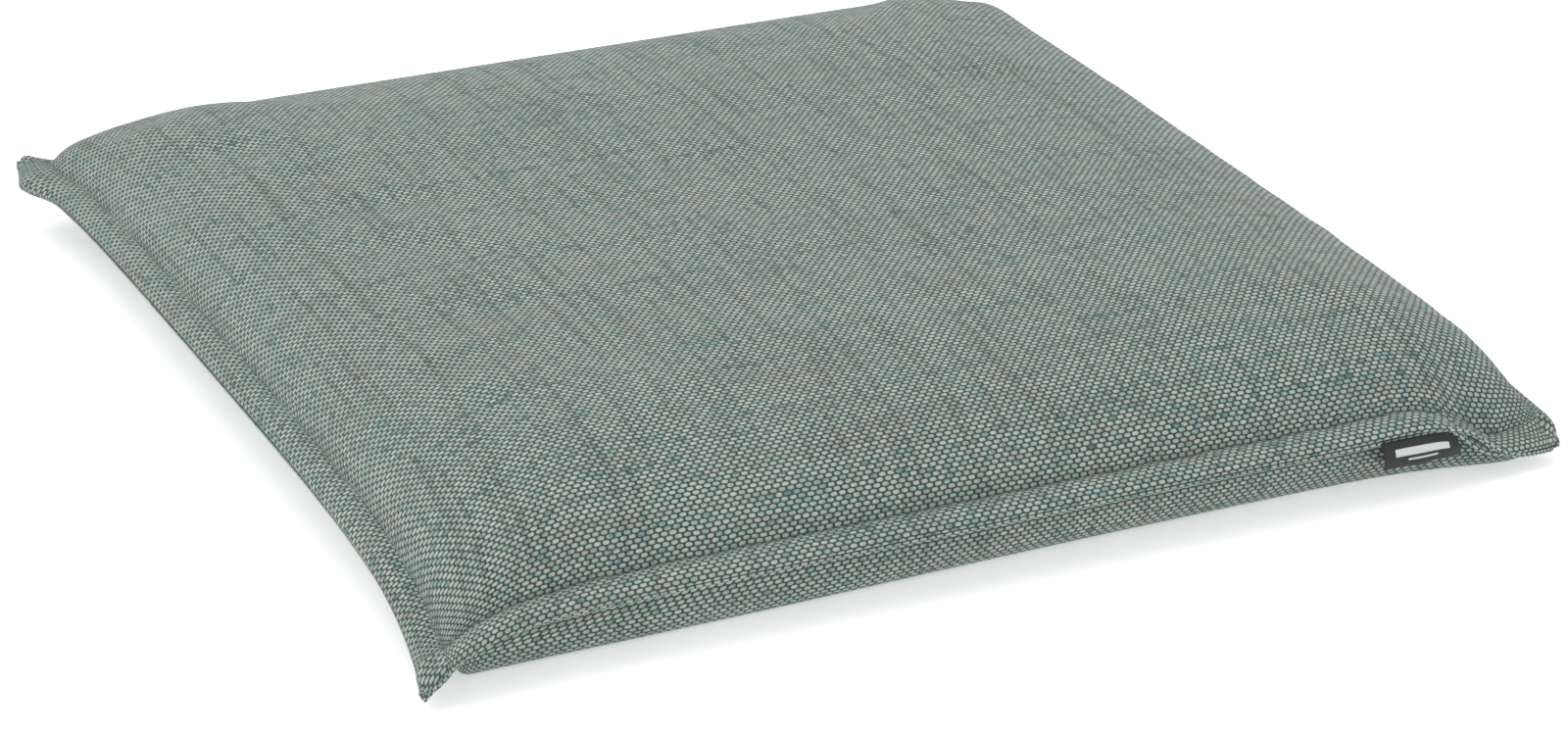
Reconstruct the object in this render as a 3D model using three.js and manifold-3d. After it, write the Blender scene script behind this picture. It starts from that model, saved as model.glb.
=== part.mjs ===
// Chair seat pad: a square knife-edge cushion with a topstitched flange, four soft
// corner ears, a foam core wrapped in wadding, and a coil zip under the rear edge.
// Millimetres, +Z up. The origin is the centre of the underside, -Y is the front.
import * as THREE from 'three';
import { mergeVertices } from 'three/addons/utils/BufferGeometryUtils.js';
import Module from 'manifold-3d';

// ---- overall size ----
const PAD_WIDTH = 480; // along X, ear tip to ear tip
const PAD_DEPTH = 480; // along Y, ear tip to ear tip
const CROWN_HEIGHT = 64; // underside to the top of the crown

// ---- edge ----
const FLANGE_WIDTH = 12.5; // fold to stitch line, measured on the cloth
const FLANGE_RISE = 8; // how far the stitch line stands above the fold
const RIM_HEIGHT = 17; // the fold, at the middle of a side
const EDGE_PULL = 12; // how far the middle of a side is drawn in from the ears
const PULL_POWER = 6;
const EAR_REACH = 10; // the ears fade out quickly towards the middle of the pad
const EAR_POWER = 4;
const EAR_HEIGHT = { frontLeft: 8, frontRight: 9, backLeft: 17, backRight: 17 };

// ---- body ----
const CROWN_POWER = 6; // how square the crown is in plan
const CROWN_FULLNESS = 0.5; // how steeply the crown rises from the stitch line
const SLOPE_RUN = { front: 12, side: 16, rear: 28 }; // stitch line to where the pad lies flat
const SLOPE_BLEND = 4;

// ---- cloth and filling ----
const CLOTH = 0.9;
const HEM_GAP = 1.7; // between the two panels in the flange, where the seam allowances lie
const GAP = 0.3; // running clearance between touching pieces
const CASING = 0.5;
const CASING_INSET = 6; // the casing is smaller than the cover by this much a side
const CASING_EASE = 0.7; // slack between cover and casing, over and under
const SLOPE_EASE = 4; // slack between cover and casing on the underside slopes
const ZIP_EASE = 4; // extra slack in front of the zip
const WADDING_EASE = 1;
const WADDING_EDGE = 0.5; // thickness where it runs out at the seam
const FILLING_ROUND = 0.12; // the filling stops short of the ears
const FOAM_SIDE_INSET = 28.4; // stitch line to foam, at the left and right
const FOAM_END_INSET = 33.4; // stitch line to foam, at the front and rear
const FOAM_UNDER = 11; // wadding and cloth below the foam
const FOAM_OVER = 21;
const FOAM_CORNER = 40;

// ---- threads ----
const THREAD = 0.5;
const THREAD_CLEAR = 0.45; // thread to the cloth it lies on, where the flange bends
const STITCH_INSET = 0.78; // place of the topstitching across the flange
const HEM_SEAM_INSET = 0.25;

// ---- label ----
const LABEL = { width: 31, height: 10.6, thick: 0.9, fromEar: 71, lean: 0.25, drop: 1 };

// ---- zip ----
const ZIP_FROM_EARS = 60; // ear tip to the end of the chain
const CHAIN_PITCH = 6;
const CHAIN_HALF = 2.9; // half width of the closed chain
const COIL_SPINE = 1.6;
const COIL_TIP = 0.9; // how far a loop reaches past the middle
const COIL_THICK = 2;
const TAPE_WIDTH = 12;
const TAPE_THICK = 0.6;
const TAPE_TAIL = 14; // tape past each end of the chain
const SLOT_HALF = 5.2; // half the gap between the two turned cloth edges
const SLOT_TAIL = 10;
const ZIP_STITCH_FROM_EDGE = 2.6;
const STOP = { length: 2, width: 5, gap: 3 };
const SLIDER = { length: 13, width: 9.2, neck: 7.6, plate: 1.2, wall: 1.3 };
const BRIDGE = { length: 8, width: 2.4, roof: 1, tunnel: 2.7, span: 5 };
const PULLER = { width: 7, length: 27, thick: 1.4, bar: 1.4, window: 3.6, reach: 5.6, tilt: 14 };
const SLIDER_FROM_END = 10; // closed end of the chain to the middle of the slider

const wasm = await Module();
wasm.setup();

const clamp = (value, low, high) => Math.min(high, Math.max(low, value));
const halfX = PAD_WIDTH / 2;
const halfY = PAD_DEPTH / 2;
const flangeRun = Math.sqrt(FLANGE_WIDTH ** 2 - FLANGE_RISE ** 2);
const plumb = (thickness) => (thickness * FLANGE_WIDTH) / flangeRun; // through the flange

// Plan position of panel coordinates u and v, which run from -1 to 1 between the folds.
// `round` draws the corners in, as a share of the half size.
function plan(u, v, round = 0) {
  const keep = 1 - round * Math.abs(u * v) ** 4;
  const drawn = (along, across) =>
    EDGE_PULL * (1 - Math.abs(along) ** PULL_POWER * Math.abs(across) ** EAR_REACH);
  return [keep * u * (halfX - drawn(v, u)), keep * v * (halfY - drawn(u, v))];
}

// Height of one side of the fold: level in the middle, easing to an ear at each end.
function sideHeight(t, earLow, earHigh) {
  const ear = t < 0 ? earLow : earHigh;
  return RIM_HEIGHT + (ear - RIM_HEIGHT) * Math.abs(t) ** EAR_POWER;
}

// Height of the fold line, carried inwards from the four sides.
function rimHeight(u, v) {
  const sides = [
    [1 + v, sideHeight(u, EAR_HEIGHT.frontLeft, EAR_HEIGHT.frontRight)],
    [1 - v, sideHeight(u, EAR_HEIGHT.backLeft, EAR_HEIGHT.backRight)],
    [1 + u, sideHeight(v, EAR_HEIGHT.frontLeft, EAR_HEIGHT.backLeft)],
    [1 - u, sideHeight(v, EAR_HEIGHT.frontRight, EAR_HEIGHT.backRight)],
  ].map(([gap, height]) => [(gap + 1e-3) ** -3, height]);
  const total = sides.reduce((sum, [weight]) => sum + weight, 0);
  return sides.reduce((sum, [weight, height]) => sum + weight * height, 0) / total;
}

// Middle of the flange: it climbs from the fold to the stitch line, then runs on level.
function seamHeight(u, v) {
  const inside = Math.min((1 - Math.abs(u)) * halfX, (1 - Math.abs(v)) * halfY);
  return rimHeight(u, v) + FLANGE_RISE * clamp(inside / flangeRun, 0, 1);
}

// Crown of a piece whose edge lies `inset` inside the stitch line.
function crown(u, v, inset, top) {
  const a = clamp(Math.abs(u) / (1 - (flangeRun + inset) / halfX), 0, 1);
  const b = clamp(Math.abs(v) / (1 - (flangeRun + inset) / halfY), 0, 1);
  const fill = ((1 - a ** CROWN_POWER) * (1 - b ** CROWN_POWER)) ** CROWN_FULLNESS;
  return fill * (top - seamHeight(u, v));
}

// Underside slopes: flat in the middle, climbing to the stitch line on each side.
const stitchX = halfX - EDGE_PULL - flangeRun;
const stitchY = halfY - EDGE_PULL - flangeRun;
const slopeTop = RIM_HEIGHT + FLANGE_RISE - plumb(HEM_GAP / 2 + CLOTH);
function slopes(u, v, round, ease, rearEase) {
  const climb = (past, run) => Math.max(0, past) * (slopeTop / run);
  const parts = [
    climb(-v * (halfY - EDGE_PULL) - stitchY + SLOPE_RUN.front + ease, SLOPE_RUN.front),
    climb(plan(u, v, round)[1] - stitchY + SLOPE_RUN.rear + ease + rearEase, SLOPE_RUN.rear),
    climb(Math.abs(u) * (halfX - EDGE_PULL) - stitchX + SLOPE_RUN.side + ease, SLOPE_RUN.side),
  ];
  return parts.reduce((sum, part) => sum + part ** SLOPE_BLEND, 0) ** (1 / SLOPE_BLEND);
}

const lift = plumb(HEM_GAP / 2);
const coverTop = (u, v) =>
  seamHeight(u, v) + lift + crown(u, v, 0, CROWN_HEIGHT - CLOTH - lift);
const coverBottom = (u, v) =>
  Math.min(slopes(u, v, 0, 0, 0), seamHeight(u, v) - plumb(HEM_GAP / 2 + CLOTH));
const fillingTop = (inset, depth) => (u, v) =>
  seamHeight(u, v) + GAP + crown(u, v, inset, CROWN_HEIGHT - depth - GAP);
const fillingBottom = (ease, depth, under) => (u, v) => Math.min(
  depth + slopes(u, v, FILLING_ROUND, ease, ZIP_EASE), seamHeight(u, v) - under);

const point = (height, u, v, round) =>
  new THREE.Vector3(...plan(u, v, round), height(u, v));

// Unit normal of a height field over the panel coordinates, pointing up.
function upNormal(height, u, v, round) {
  const step = 0.004;
  const along = (du, dv) => point(height, clamp(u + du, -1, 1), clamp(v + dv, -1, 1), round);
  const across = along(step, 0).sub(along(-step, 0));
  const forth = along(0, step).sub(along(0, -step));
  return across.cross(forth).normalize();
}

// Grid lines both ways across a panel. Some follow the edges where the underside starts
// to climb; `outer` are the lines beyond those, as distances in from the fold.
function gridLines(ease, outer) {
  const lines = (half, runs) => {
    const climbs = runs.map((run) => 1 - (flangeRun + run + ease) / (half - EDGE_PULL));
    const edges = outer.map((inset) => 1 - inset / half);
    const positive = [0, 0.25, 0.48, 0.66, 0.77, ...climbs, ...edges];
    return [...positive.slice(1).map((t) => -t).reverse(), ...positive];
  };
  return {
    u: lines(halfX, [SLOPE_RUN.side]),
    v: lines(halfY, [SLOPE_RUN.rear, SLOPE_RUN.front]),
  };
}

// Closed body between an upper and a lower sheet of points on one grid.
function sheetBody(grid, upper, lower) {
  const [columns, rows] = [grid.u.length, grid.v.length];
  const points = [];
  for (const sheet of [upper, lower]) {
    for (const v of grid.v) for (const u of grid.u) points.push(...sheet(u, v).toArray());
  }
  const index = [];
  const quad = (a, b, c, d) => index.push(a, b, c, a, c, d);
  const at = (side, i, j) => side * columns * rows + j * columns + i;
  for (let j = 0; j < rows - 1; j++) {
    for (let i = 0; i < columns - 1; i++) {
      const up = [at(0, i, j), at(0, i + 1, j), at(0, i + 1, j + 1), at(0, i, j + 1)];
      const down = [at(1, i, j), at(1, i, j + 1), at(1, i + 1, j + 1), at(1, i + 1, j)];
      // Each cell splits along the line to the middle, so the corners crease cleanly.
      const turn = (grid.u[i] + grid.u[i + 1]) * (grid.v[j] + grid.v[j + 1]) < 0 ? 1 : 0;
      for (const ring of [up, down]) quad(...ring.slice(turn), ...ring.slice(0, turn));
    }
  }
  const [right, back] = [columns - 1, rows - 1];
  for (let i = 0; i < right; i++) {
    quad(at(1, i, 0), at(1, i + 1, 0), at(0, i + 1, 0), at(0, i, 0));
    quad(at(1, i + 1, back), at(1, i, back), at(0, i, back), at(0, i + 1, back));
  }
  for (let j = 0; j < back; j++) {
    quad(at(1, right, j), at(1, right, j + 1), at(0, right, j + 1), at(0, right, j));
    quad(at(1, 0, j + 1), at(1, 0, j), at(0, 0, j), at(0, 0, j + 1));
  }
  return indexed(points, index);
}

function indexed(points, index) {
  const geometry = new THREE.BufferGeometry();
  geometry.setAttribute('position', new THREE.Float32BufferAttribute(points, 3));
  geometry.setIndex(index);
  return geometry;
}

// One layer of cloth: a height field and its copy `thick` above it along the normal.
function cloth(grid, height, thick, round) {
  const lower = (u, v) => point(height, u, v, round);
  const upper = (u, v) => lower(u, v).addScaledVector(upNormal(height, u, v, round), thick);
  return sheetBody(grid, upper, lower);
}

// A thread that runs all the way round the pad at one place across the flange.
function threadLoop(grid, across, offset) {
  const [edgeX, edgeY] = [halfX, halfY].map((half) => 1 - (flangeRun * across) / half);
  const within = (lines, edge) =>
    lines.map((t) => clamp(t, -edge, edge)).filter((t, i, all) => t !== all[i - 1]);
  const [alongX, alongY] = [within(grid.u, edgeX), within(grid.v, edgeY)];
  const round = [
    ...alongX.slice(0, -1).map((t) => [t, -edgeY]),
    ...alongY.slice(0, -1).map((t) => [edgeX, t]),
    ...alongX.slice(1).reverse().map((t) => [t, edgeY]),
    ...alongY.slice(1).reverse().map((t) => [-edgeX, t]),
  ];
  const half = THREAD / 2;
  const points = [];
  for (const [u, v] of round) {
    const up = upNormal(seamHeight, u, v);
    const out = new THREE.Vector3(u ** 9, v ** 9, 0);
    out.addScaledVector(up, -out.dot(up)).normalize();
    const centre = point(seamHeight, u, v).addScaledVector(up, offset);
    for (const [side, rise] of [[1, -1], [1, 1], [-1, 1], [-1, -1]]) {
      const corner = centre.clone().addScaledVector(out, side * half);
      points.push(...corner.addScaledVector(up, rise * half).toArray());
    }
  }
  const index = [];
  const count = round.length;
  for (let k = 0; k < count; k++) {
    for (let c = 0; c < 4; c++) {
      const [a, b] = [k * 4 + c, k * 4 + ((c + 1) % 4)];
      const next = ((k + 1) % count) * 4;
      const [d, e] = [next + c, next + ((c + 1) % 4)];
      index.push(a, d, e, a, e, b);
    }
  }
  return indexed(points, index);
}

// ---- joins and cuts ----
function solid(geometry) {
  const bare = geometry.index ? geometry.clone() : geometry;
  for (const name of ['normal', 'uv']) bare.deleteAttribute(name);
  const merged = mergeVertices(bare, 1e-4);
  return new wasm.Manifold(new wasm.Mesh({
    numProp: 3,
    vertProperties: merged.attributes.position.array,
    triVerts: new Uint32Array(merged.index.array),
  }));
}

function fromSolid(body) {
  const mesh = body.getMesh();
  return indexed(Array.from(mesh.vertProperties), Array.from(mesh.triVerts));
}

const cut = (geometry, ...tools) =>
  fromSolid(tools.reduce((body, tool) => body.subtract(solid(tool)), solid(geometry)));
const join = (...pieces) => fromSolid(pieces.map(solid).reduce((body, piece) => body.add(piece)));

function block(low, high) {
  const size = high.map((value, axis) => value - low[axis]);
  const middle = high.map((value, axis) => (value + low[axis]) / 2);
  return new THREE.BoxGeometry(...size).translate(...middle);
}

function outline(corners) {
  return new THREE.Shape(corners.map(([x, y]) => new THREE.Vector2(x, y)));
}

// Prism of a shape drawn in X and Z, centred on Y.
function prismAlongY(shape, width) {
  const prism = new THREE.ExtrudeGeometry(shape, { depth: width, bevelEnabled: false });
  return prism.translate(0, 0, -width / 2).rotateX(Math.PI / 2);
}

function roundedSlab(width, depth, height, radius) {
  const [x, y] = [width / 2, depth / 2];
  const shape = new THREE.Shape();
  shape.moveTo(-x + radius, -y);
  shape.absarc(x - radius, -y + radius, radius, -Math.PI / 2, 0);
  shape.absarc(x - radius, y - radius, radius, 0, Math.PI / 2);
  shape.absarc(-x + radius, y - radius, radius, Math.PI / 2, Math.PI);
  shape.absarc(-x + radius, -y + radius, radius, Math.PI, 1.5 * Math.PI);
  return new THREE.ExtrudeGeometry(shape, { depth: height, bevelEnabled: false, curveSegments: 4 });
}

// ---- zip frame: X along the chain, Y across it towards the front, Z out of the cover ----
const zipTilt = Math.atan(slopeTop / SLOPE_RUN.rear);
const zipFrame = new THREE.Group();
zipFrame.position.set(0, stitchY - SLOPE_RUN.rear / 2, slopeTop / 2);
zipFrame.rotation.x = Math.PI + zipTilt;
zipFrame.updateMatrixWorld();
const inZipFrame = (geometry) => geometry.applyMatrix4(zipFrame.matrixWorld);

const chainLength = PAD_WIDTH - 2 * ZIP_FROM_EARS;
const slotLength = chainLength + 2 * SLOT_TAIL;
const tapeFace = -CLOTH - GAP; // face of the tapes on the cover's inner side
const coilBase = tapeFace + GAP;
const coilTop = coilBase + COIL_THICK;
const plateBase = coilTop + GAP;
const plateTop = plateBase + SLIDER.plate;

// The coil is drawn as square loops that mesh with those of the other row.
function coilRow(side) {
  const width = CHAIN_PITCH / 2 - GAP;
  const phase = side > 0 ? 0 : CHAIN_PITCH / 2;
  const spine = CHAIN_HALF - COIL_SPINE;
  const corners = [[-chainLength / 2, CHAIN_HALF], [-chainLength / 2, spine]];
  for (let x = -chainLength / 2 + GAP; x + phase + width <= chainLength / 2; x += CHAIN_PITCH) {
    const [start, end] = [x + phase, x + phase + width];
    corners.push([start, spine], [start, -COIL_TIP], [end, -COIL_TIP], [end, spine]);
  }
  corners.push([chainLength / 2, spine], [chainLength / 2, CHAIN_HALF]);
  const row = new THREE.ExtrudeGeometry(outline(corners), {
    depth: COIL_THICK, bevelEnabled: false,
  });
  if (side < 0) row.rotateX(Math.PI).translate(0, 0, COIL_THICK);
  return row.translate(0, 0, coilBase);
}

function zipTape(side) {
  const [near, far] = [side * GAP * 2, side * (GAP * 2 + TAPE_WIDTH)];
  const x = chainLength / 2 + TAPE_TAIL;
  return block(
    [-x, Math.min(near, far), tapeFace - TAPE_THICK], [x, Math.max(near, far), tapeFace]);
}

function sliderBody() {
  const { length, width, neck, wall } = SLIDER;
  const [x, y] = [length / 2, width / 2];
  const channel = cut(
    block([-x, -y, tapeFace + GAP], [x, y, plateTop]),
    block([-x - 1, -y + wall, tapeFace], [x + 1, y - wall, plateBase]));
  const waist = [[-x - 1, neck / 2], [0, neck / 2], [x * 0.6, y], [x * 0.6, y + 1], [-x - 1, y + 1]];
  const trims = [1, -1].map((side) => {
    const corners = waist.map(([a, b]) => [a, side * b]);
    const prism = new THREE.ExtrudeGeometry(outline(side > 0 ? corners : corners.reverse()), {
      depth: 20, bevelEnabled: false,
    });
    return prism.translate(0, 0, plateBase);
  });
  const tall = BRIDGE.tunnel + BRIDGE.roof;
  const arch = outline([
    [-BRIDGE.length / 2, -0.2], [BRIDGE.length / 2, -0.2],
    [BRIDGE.length / 2, tall * 0.7], [BRIDGE.length / 2 - 1, tall],
    [-BRIDGE.length / 2 + 1, tall], [-BRIDGE.length / 2, tall * 0.7],
  ]);
  const loop = cut(
    prismAlongY(arch, BRIDGE.width),
    block([-BRIDGE.span / 2, -5, 0], [BRIDGE.span / 2, 5, BRIDGE.tunnel]));
  return join(cut(channel, ...trims), loop.translate(0, 0, plateTop));
}

// Pull tab with a cross bar at the origin; it points along -X when it lies flat.
function pullTab() {
  const { width, length, thick, bar, window, reach } = PULLER;
  const y = width / 2;
  const tab = outline([
    [bar / 2, -y + 0.8], [bar / 2, y - 0.8], [bar / 2 - 0.8, y], [-reach - 2, y],
    [-reach - 5, y * 0.72], [-length + 3, y * 0.86], [-length, y * 0.5],
    [-length, -y * 0.5], [-length + 3, -y * 0.86], [-reach - 5, -y * 0.72],
    [-reach - 2, -y], [bar / 2 - 0.8, -y],
  ]);
  const plate = new THREE.ExtrudeGeometry(tab, { depth: thick, bevelEnabled: false });
  return cut(
    plate.translate(0, 0, -thick / 2),
    block([-reach, -window / 2, -thick], [-bar / 2, window / 2, thick]));
}

// ---- cover ----
const coverLines = gridLines(0, [
  flangeRun + SLOPE_RUN.front / 2, flangeRun, flangeRun * 0.45, 0]);
const zipSide = (low, high) => inZipFrame(block(low, high));
const slot = zipSide([-slotLength / 2, -SLOT_HALF, -30], [slotLength / 2, SLOT_HALF, 30]);
const bottomCloth = cloth(coverLines, coverBottom, CLOTH);
const reach = PAD_WIDTH + PAD_DEPTH;
const mainPanel = cut(
  bottomCloth, slot, zipSide([-reach, -reach, -reach], [reach, GAP / 2, reach]));
const rearStrip = cut(
  bottomCloth, slot, zipSide([-reach, -GAP / 2, -reach], [reach, reach, reach]));

// ---- filling ----
const casingEdge = flangeRun + CASING_INSET;
const casingLines = gridLines(SLOPE_EASE, [casingEdge + 4, casingEdge]);
const casingTop = fillingTop(CASING_INSET, CLOTH + CASING_EASE + CASING);
const waddingUnder = GAP / 2 + WADDING_EDGE;
const casingBottom = fillingBottom(
  SLOPE_EASE, CLOTH + CASING_EASE, waddingUnder + GAP + CASING);
const waddingInset = CASING_INSET + CASING + 2 * WADDING_EASE;
const waddingDepth = CLOTH + CASING_EASE + CASING + WADDING_EASE;
const waddingSlopeEase = SLOPE_EASE + CASING + 4 * WADDING_EASE;
const waddingEdge = flangeRun + waddingInset;
const waddingLines = gridLines(waddingSlopeEase, [waddingEdge + 6, waddingEdge]);
const foamSize = [
  2 * (stitchX - FOAM_SIDE_INSET), 2 * (stitchY - FOAM_END_INSET),
  CROWN_HEIGHT - FOAM_UNDER - FOAM_OVER];
const foamSlab = (grow) =>
  roundedSlab(...foamSize.map((size) => size + 2 * grow), FOAM_CORNER)
    .translate(0, 0, FOAM_UNDER - grow);
const middle = (side) => (u, v) => {
  const at = point(seamHeight, u, v, FILLING_ROUND);
  return at.setZ(at.z + side * GAP);
};
const upperFill = sheetBody(
  waddingLines,
  (u, v) => point(fillingTop(waddingInset, waddingDepth), u, v, FILLING_ROUND), middle(0.5));
const lowerFill = sheetBody(
  waddingLines, middle(-0.5),
  (u, v) => point(
    fillingBottom(waddingSlopeEase, waddingDepth, waddingUnder), u, v, FILLING_ROUND));

// ---- materials and assembly ----
const finish = (color, roughness, metalness = 0) => ({ color, roughness, metalness });
const TWEED = finish(0x82908b, 0.95);
const THREADS = finish(0x8d9a94, 0.7);
const CASING_CLOTH = finish(0xe6e4dd, 0.9);
const WADDING = finish(0xf3f2ee, 1);
const FOAM = finish(0xe9dcae, 0.9);
const LABEL_CLOTH = finish(0x17191a, 0.8);
const TAPE = finish(0x6f7b76, 0.85);
const NYLON = finish(0x5f6a66, 0.45);
const METAL = finish(0x9fa2a3, 0.35, 0.9);

const pad = new THREE.Group();
function add(parent, name, geometry, look) {
  const mesh = new THREE.Mesh(geometry, new THREE.MeshStandardMaterial(look));
  mesh.name = name;
  parent.add(mesh);
  return mesh;
}

add(pad, 'cover_top_panel', cloth(coverLines, coverTop, CLOTH), TWEED);
add(pad, 'cover_bottom_panel', mainPanel, TWEED);
add(pad, 'cover_bottom_strip', rearStrip, TWEED);
add(pad, 'liner_top', cloth(casingLines, casingTop, CASING, FILLING_ROUND), CASING_CLOTH);
add(pad, 'liner_bottom', cloth(casingLines, casingBottom, CASING, FILLING_ROUND), CASING_CLOTH);
add(pad, 'wadding_top', cut(upperFill, foamSlab(GAP)), WADDING);
add(pad, 'wadding_bottom', cut(lowerFill, foamSlab(GAP)), WADDING);
add(pad, 'foam_core', foamSlab(0), FOAM);

const onFlange = HEM_GAP / 2 + CLOTH + THREAD_CLEAR + THREAD / 2;
add(pad, 'topstitch_needle_thread', threadLoop(coverLines, STITCH_INSET, onFlange), THREADS);
add(pad, 'topstitch_bobbin_thread', threadLoop(coverLines, STITCH_INSET, -onFlange), THREADS);
add(pad, 'edge_seam_thread', threadLoop(coverLines, HEM_SEAM_INSET, 0), THREADS);

const label = add(pad, 'side_label', block(
  [-LABEL.width / 2, -LABEL.thick, -LABEL.height], [LABEL.width / 2, 0, 0]), LABEL_CLOTH);
const labelX = halfX - LABEL.fromEar;
const labelTop = point(coverBottom, labelX / (halfX - EDGE_PULL), -1);
label.position.copy(labelTop).add(new THREE.Vector3(0, 1, -LABEL.drop));
label.rotation.x = -LABEL.lean;

pad.add(zipFrame);
add(zipFrame, 'zip_tape_front', zipTape(1), TAPE);
add(zipFrame, 'zip_tape_rear', zipTape(-1), TAPE);
add(zipFrame, 'zip_coil_front', coilRow(1), NYLON);
add(zipFrame, 'zip_coil_rear', coilRow(-1), NYLON);

const stopAt = chainLength / 2 + STOP.gap;
const stop = () => block(
  [-STOP.length / 2, -STOP.width / 2, coilBase], [STOP.length / 2, STOP.width / 2, coilTop]);
add(zipFrame, 'zip_top_stop', stop(), METAL).position.x = stopAt;
add(zipFrame, 'zip_bottom_stop', stop(), METAL).position.x = -stopAt;

const seamLine = SLOT_HALF + ZIP_STITCH_FROM_EDGE;
const zipStitch = () => block(
  [-slotLength / 2, -THREAD / 2, GAP], [slotLength / 2, THREAD / 2, GAP + THREAD]);
add(zipFrame, 'zip_stitch_front', zipStitch(), THREADS).position.y = seamLine;
add(zipFrame, 'zip_stitch_rear', zipStitch(), THREADS).position.y = -seamLine;

const tack = () => block([-1, -seamLine, GAP], [1, seamLine, GAP + 2 * THREAD]);
const tackAt = slotLength / 2 + 1 + GAP;
add(zipFrame, 'zip_bartack_right', tack(), THREADS).position.x = tackAt;
add(zipFrame, 'zip_bartack_left', tack(), THREADS).position.x = -tackAt;

const slider = new THREE.Group();
slider.position.x = chainLength / 2 - SLIDER_FROM_END;
zipFrame.add(slider);
add(slider, 'zip_slider_body', sliderBody(), METAL);
const backFace = tapeFace - TAPE_THICK - GAP;
add(slider, 'zip_slider_back_plate', block(
  [-SLIDER.length / 2, -SLIDER.width / 2, backFace - SLIDER.plate],
  [SLIDER.length / 2, SLIDER.width / 2, backFace]), METAL);
const puller = add(slider, 'zip_puller', pullTab(), METAL);
puller.position.z = plateTop + BRIDGE.tunnel / 2;
puller.rotation.y = THREE.MathUtils.degToRad(PULLER.tilt);

export default pad;
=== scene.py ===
# %% [markdown]
# # A tweed seat pad, from its cloth to its zip
# The pad is a loose cushion for an outdoor chair: a foam slab in soft wadding, in a thin casing, in a woven
# tweed cover. The cover's two square panels are sewn face to face, turned, and topstitched all round, which
# leaves a flat puffy border, the flange. A zip hides in the sloping rear of the underside.
#
# The CAD model is the frame: it is loaded first, and every size and place below agrees with it.

import bpy
import numpy as np
from mathutils import Matrix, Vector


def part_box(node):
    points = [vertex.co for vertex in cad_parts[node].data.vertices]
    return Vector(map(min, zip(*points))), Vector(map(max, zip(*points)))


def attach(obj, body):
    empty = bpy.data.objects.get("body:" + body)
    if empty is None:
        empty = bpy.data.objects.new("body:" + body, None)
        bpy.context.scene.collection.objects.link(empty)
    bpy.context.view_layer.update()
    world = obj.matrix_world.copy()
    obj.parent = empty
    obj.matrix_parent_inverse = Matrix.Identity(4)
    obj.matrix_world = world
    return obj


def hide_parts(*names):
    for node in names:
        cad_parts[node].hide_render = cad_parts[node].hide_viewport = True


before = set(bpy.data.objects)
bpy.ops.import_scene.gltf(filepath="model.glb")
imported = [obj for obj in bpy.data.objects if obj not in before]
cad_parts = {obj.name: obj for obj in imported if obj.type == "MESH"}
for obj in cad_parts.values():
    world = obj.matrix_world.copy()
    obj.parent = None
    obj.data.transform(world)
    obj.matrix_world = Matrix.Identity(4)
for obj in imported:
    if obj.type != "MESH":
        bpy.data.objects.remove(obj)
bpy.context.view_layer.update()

MM = 0.001

# %% [markdown]
# ## The camera
# A camera that looks down at a low object from about two metres, with a long lens, shows nearly parallel
# sides. Its place and turn are written as numbers and put straight into the matrix, because a camera's own
# axes are simple: X is right, Y is up, and it looks along minus Z.

# %% Camera
def turned_camera(azimuth, elevation, roll):
    """Rows right, up and back for a camera that stands at an azimuth and an elevation, rolled about its own
    line of sight: back points from the pad to the camera, right is level, and up is back crossed with
    right."""
    a, e, r = np.radians([azimuth, elevation, roll])
    back = np.array([np.sin(a) * np.cos(e), -np.cos(a) * np.cos(e), np.sin(e)])
    right = np.array([np.cos(a), np.sin(a), 0.0])
    up = np.cross(back, right)
    return np.array([np.cos(r) * right + np.sin(r) * up, np.cos(r) * up - np.sin(r) * right, back])


CAMERA_TURN = (-25.95, 24.87, 0.89)
CAMERA_PLACE = np.array([-746.1, -1561.4, 788.1]) * MM
CAMERA_LENS, CAMERA_SENSOR, FAR = 108.9, 36.0, 20.0

camera_data = bpy.data.cameras.new("camera")
camera_data.sensor_width, camera_data.lens, camera_data.clip_end = CAMERA_SENSOR, CAMERA_LENS, FAR
camera = bpy.data.objects.new("camera", camera_data)
bpy.context.scene.collection.objects.link(camera)
placed = np.eye(4)
placed[:3, :3] = turned_camera(*CAMERA_TURN).T
placed[:3, 3] = CAMERA_PLACE
camera.matrix_world = Matrix(placed)
bpy.context.scene.camera = camera
print("camera stands", round(float(np.linalg.norm(placed[:3, 3])), 3), "m from the pad's middle")

# %% [markdown]
# ## From arrays to meshes
# Every cloth panel here is a grid: one parameter runs across the pad, the other from front to rear. A grid of
# points becomes a sheet of four-sided faces. Real cloth has thickness, so a panel is two such sheets, the
# face of the cloth and its back, joined round the rim by a rounded lip. That closes the mesh.

# %% Mesh helpers
def grid_faces(rows, columns, first=0, flip=False):
    """The faces of a grid whose points are numbered row by row: each joins a point to its next neighbours."""
    i = np.arange(rows - 1)[:, None] * columns + np.arange(columns - 1)[None, :] + first
    faces = np.stack([i, i + 1, i + columns + 1, i + columns], -1).reshape(-1, 4)
    return faces[:, ::-1] if flip else faces


def rim_of(rows, columns):
    """The grid's outer points in order, counter-clockwise from the first corner."""
    number = np.arange(rows * columns).reshape(rows, columns)
    return np.concatenate([number[0, :-1], number[:-1, -1], number[-1, :0:-1], number[:0:-1, 0]])


def normals_of(points):
    """Unit normals of a grid surface: the cross product of its slopes along the two parameters."""
    across = np.cross(np.gradient(points, axis=1), np.gradient(points, axis=0))
    return across / np.maximum(np.linalg.norm(across, axis=-1, keepdims=True), 1e-12)


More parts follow.
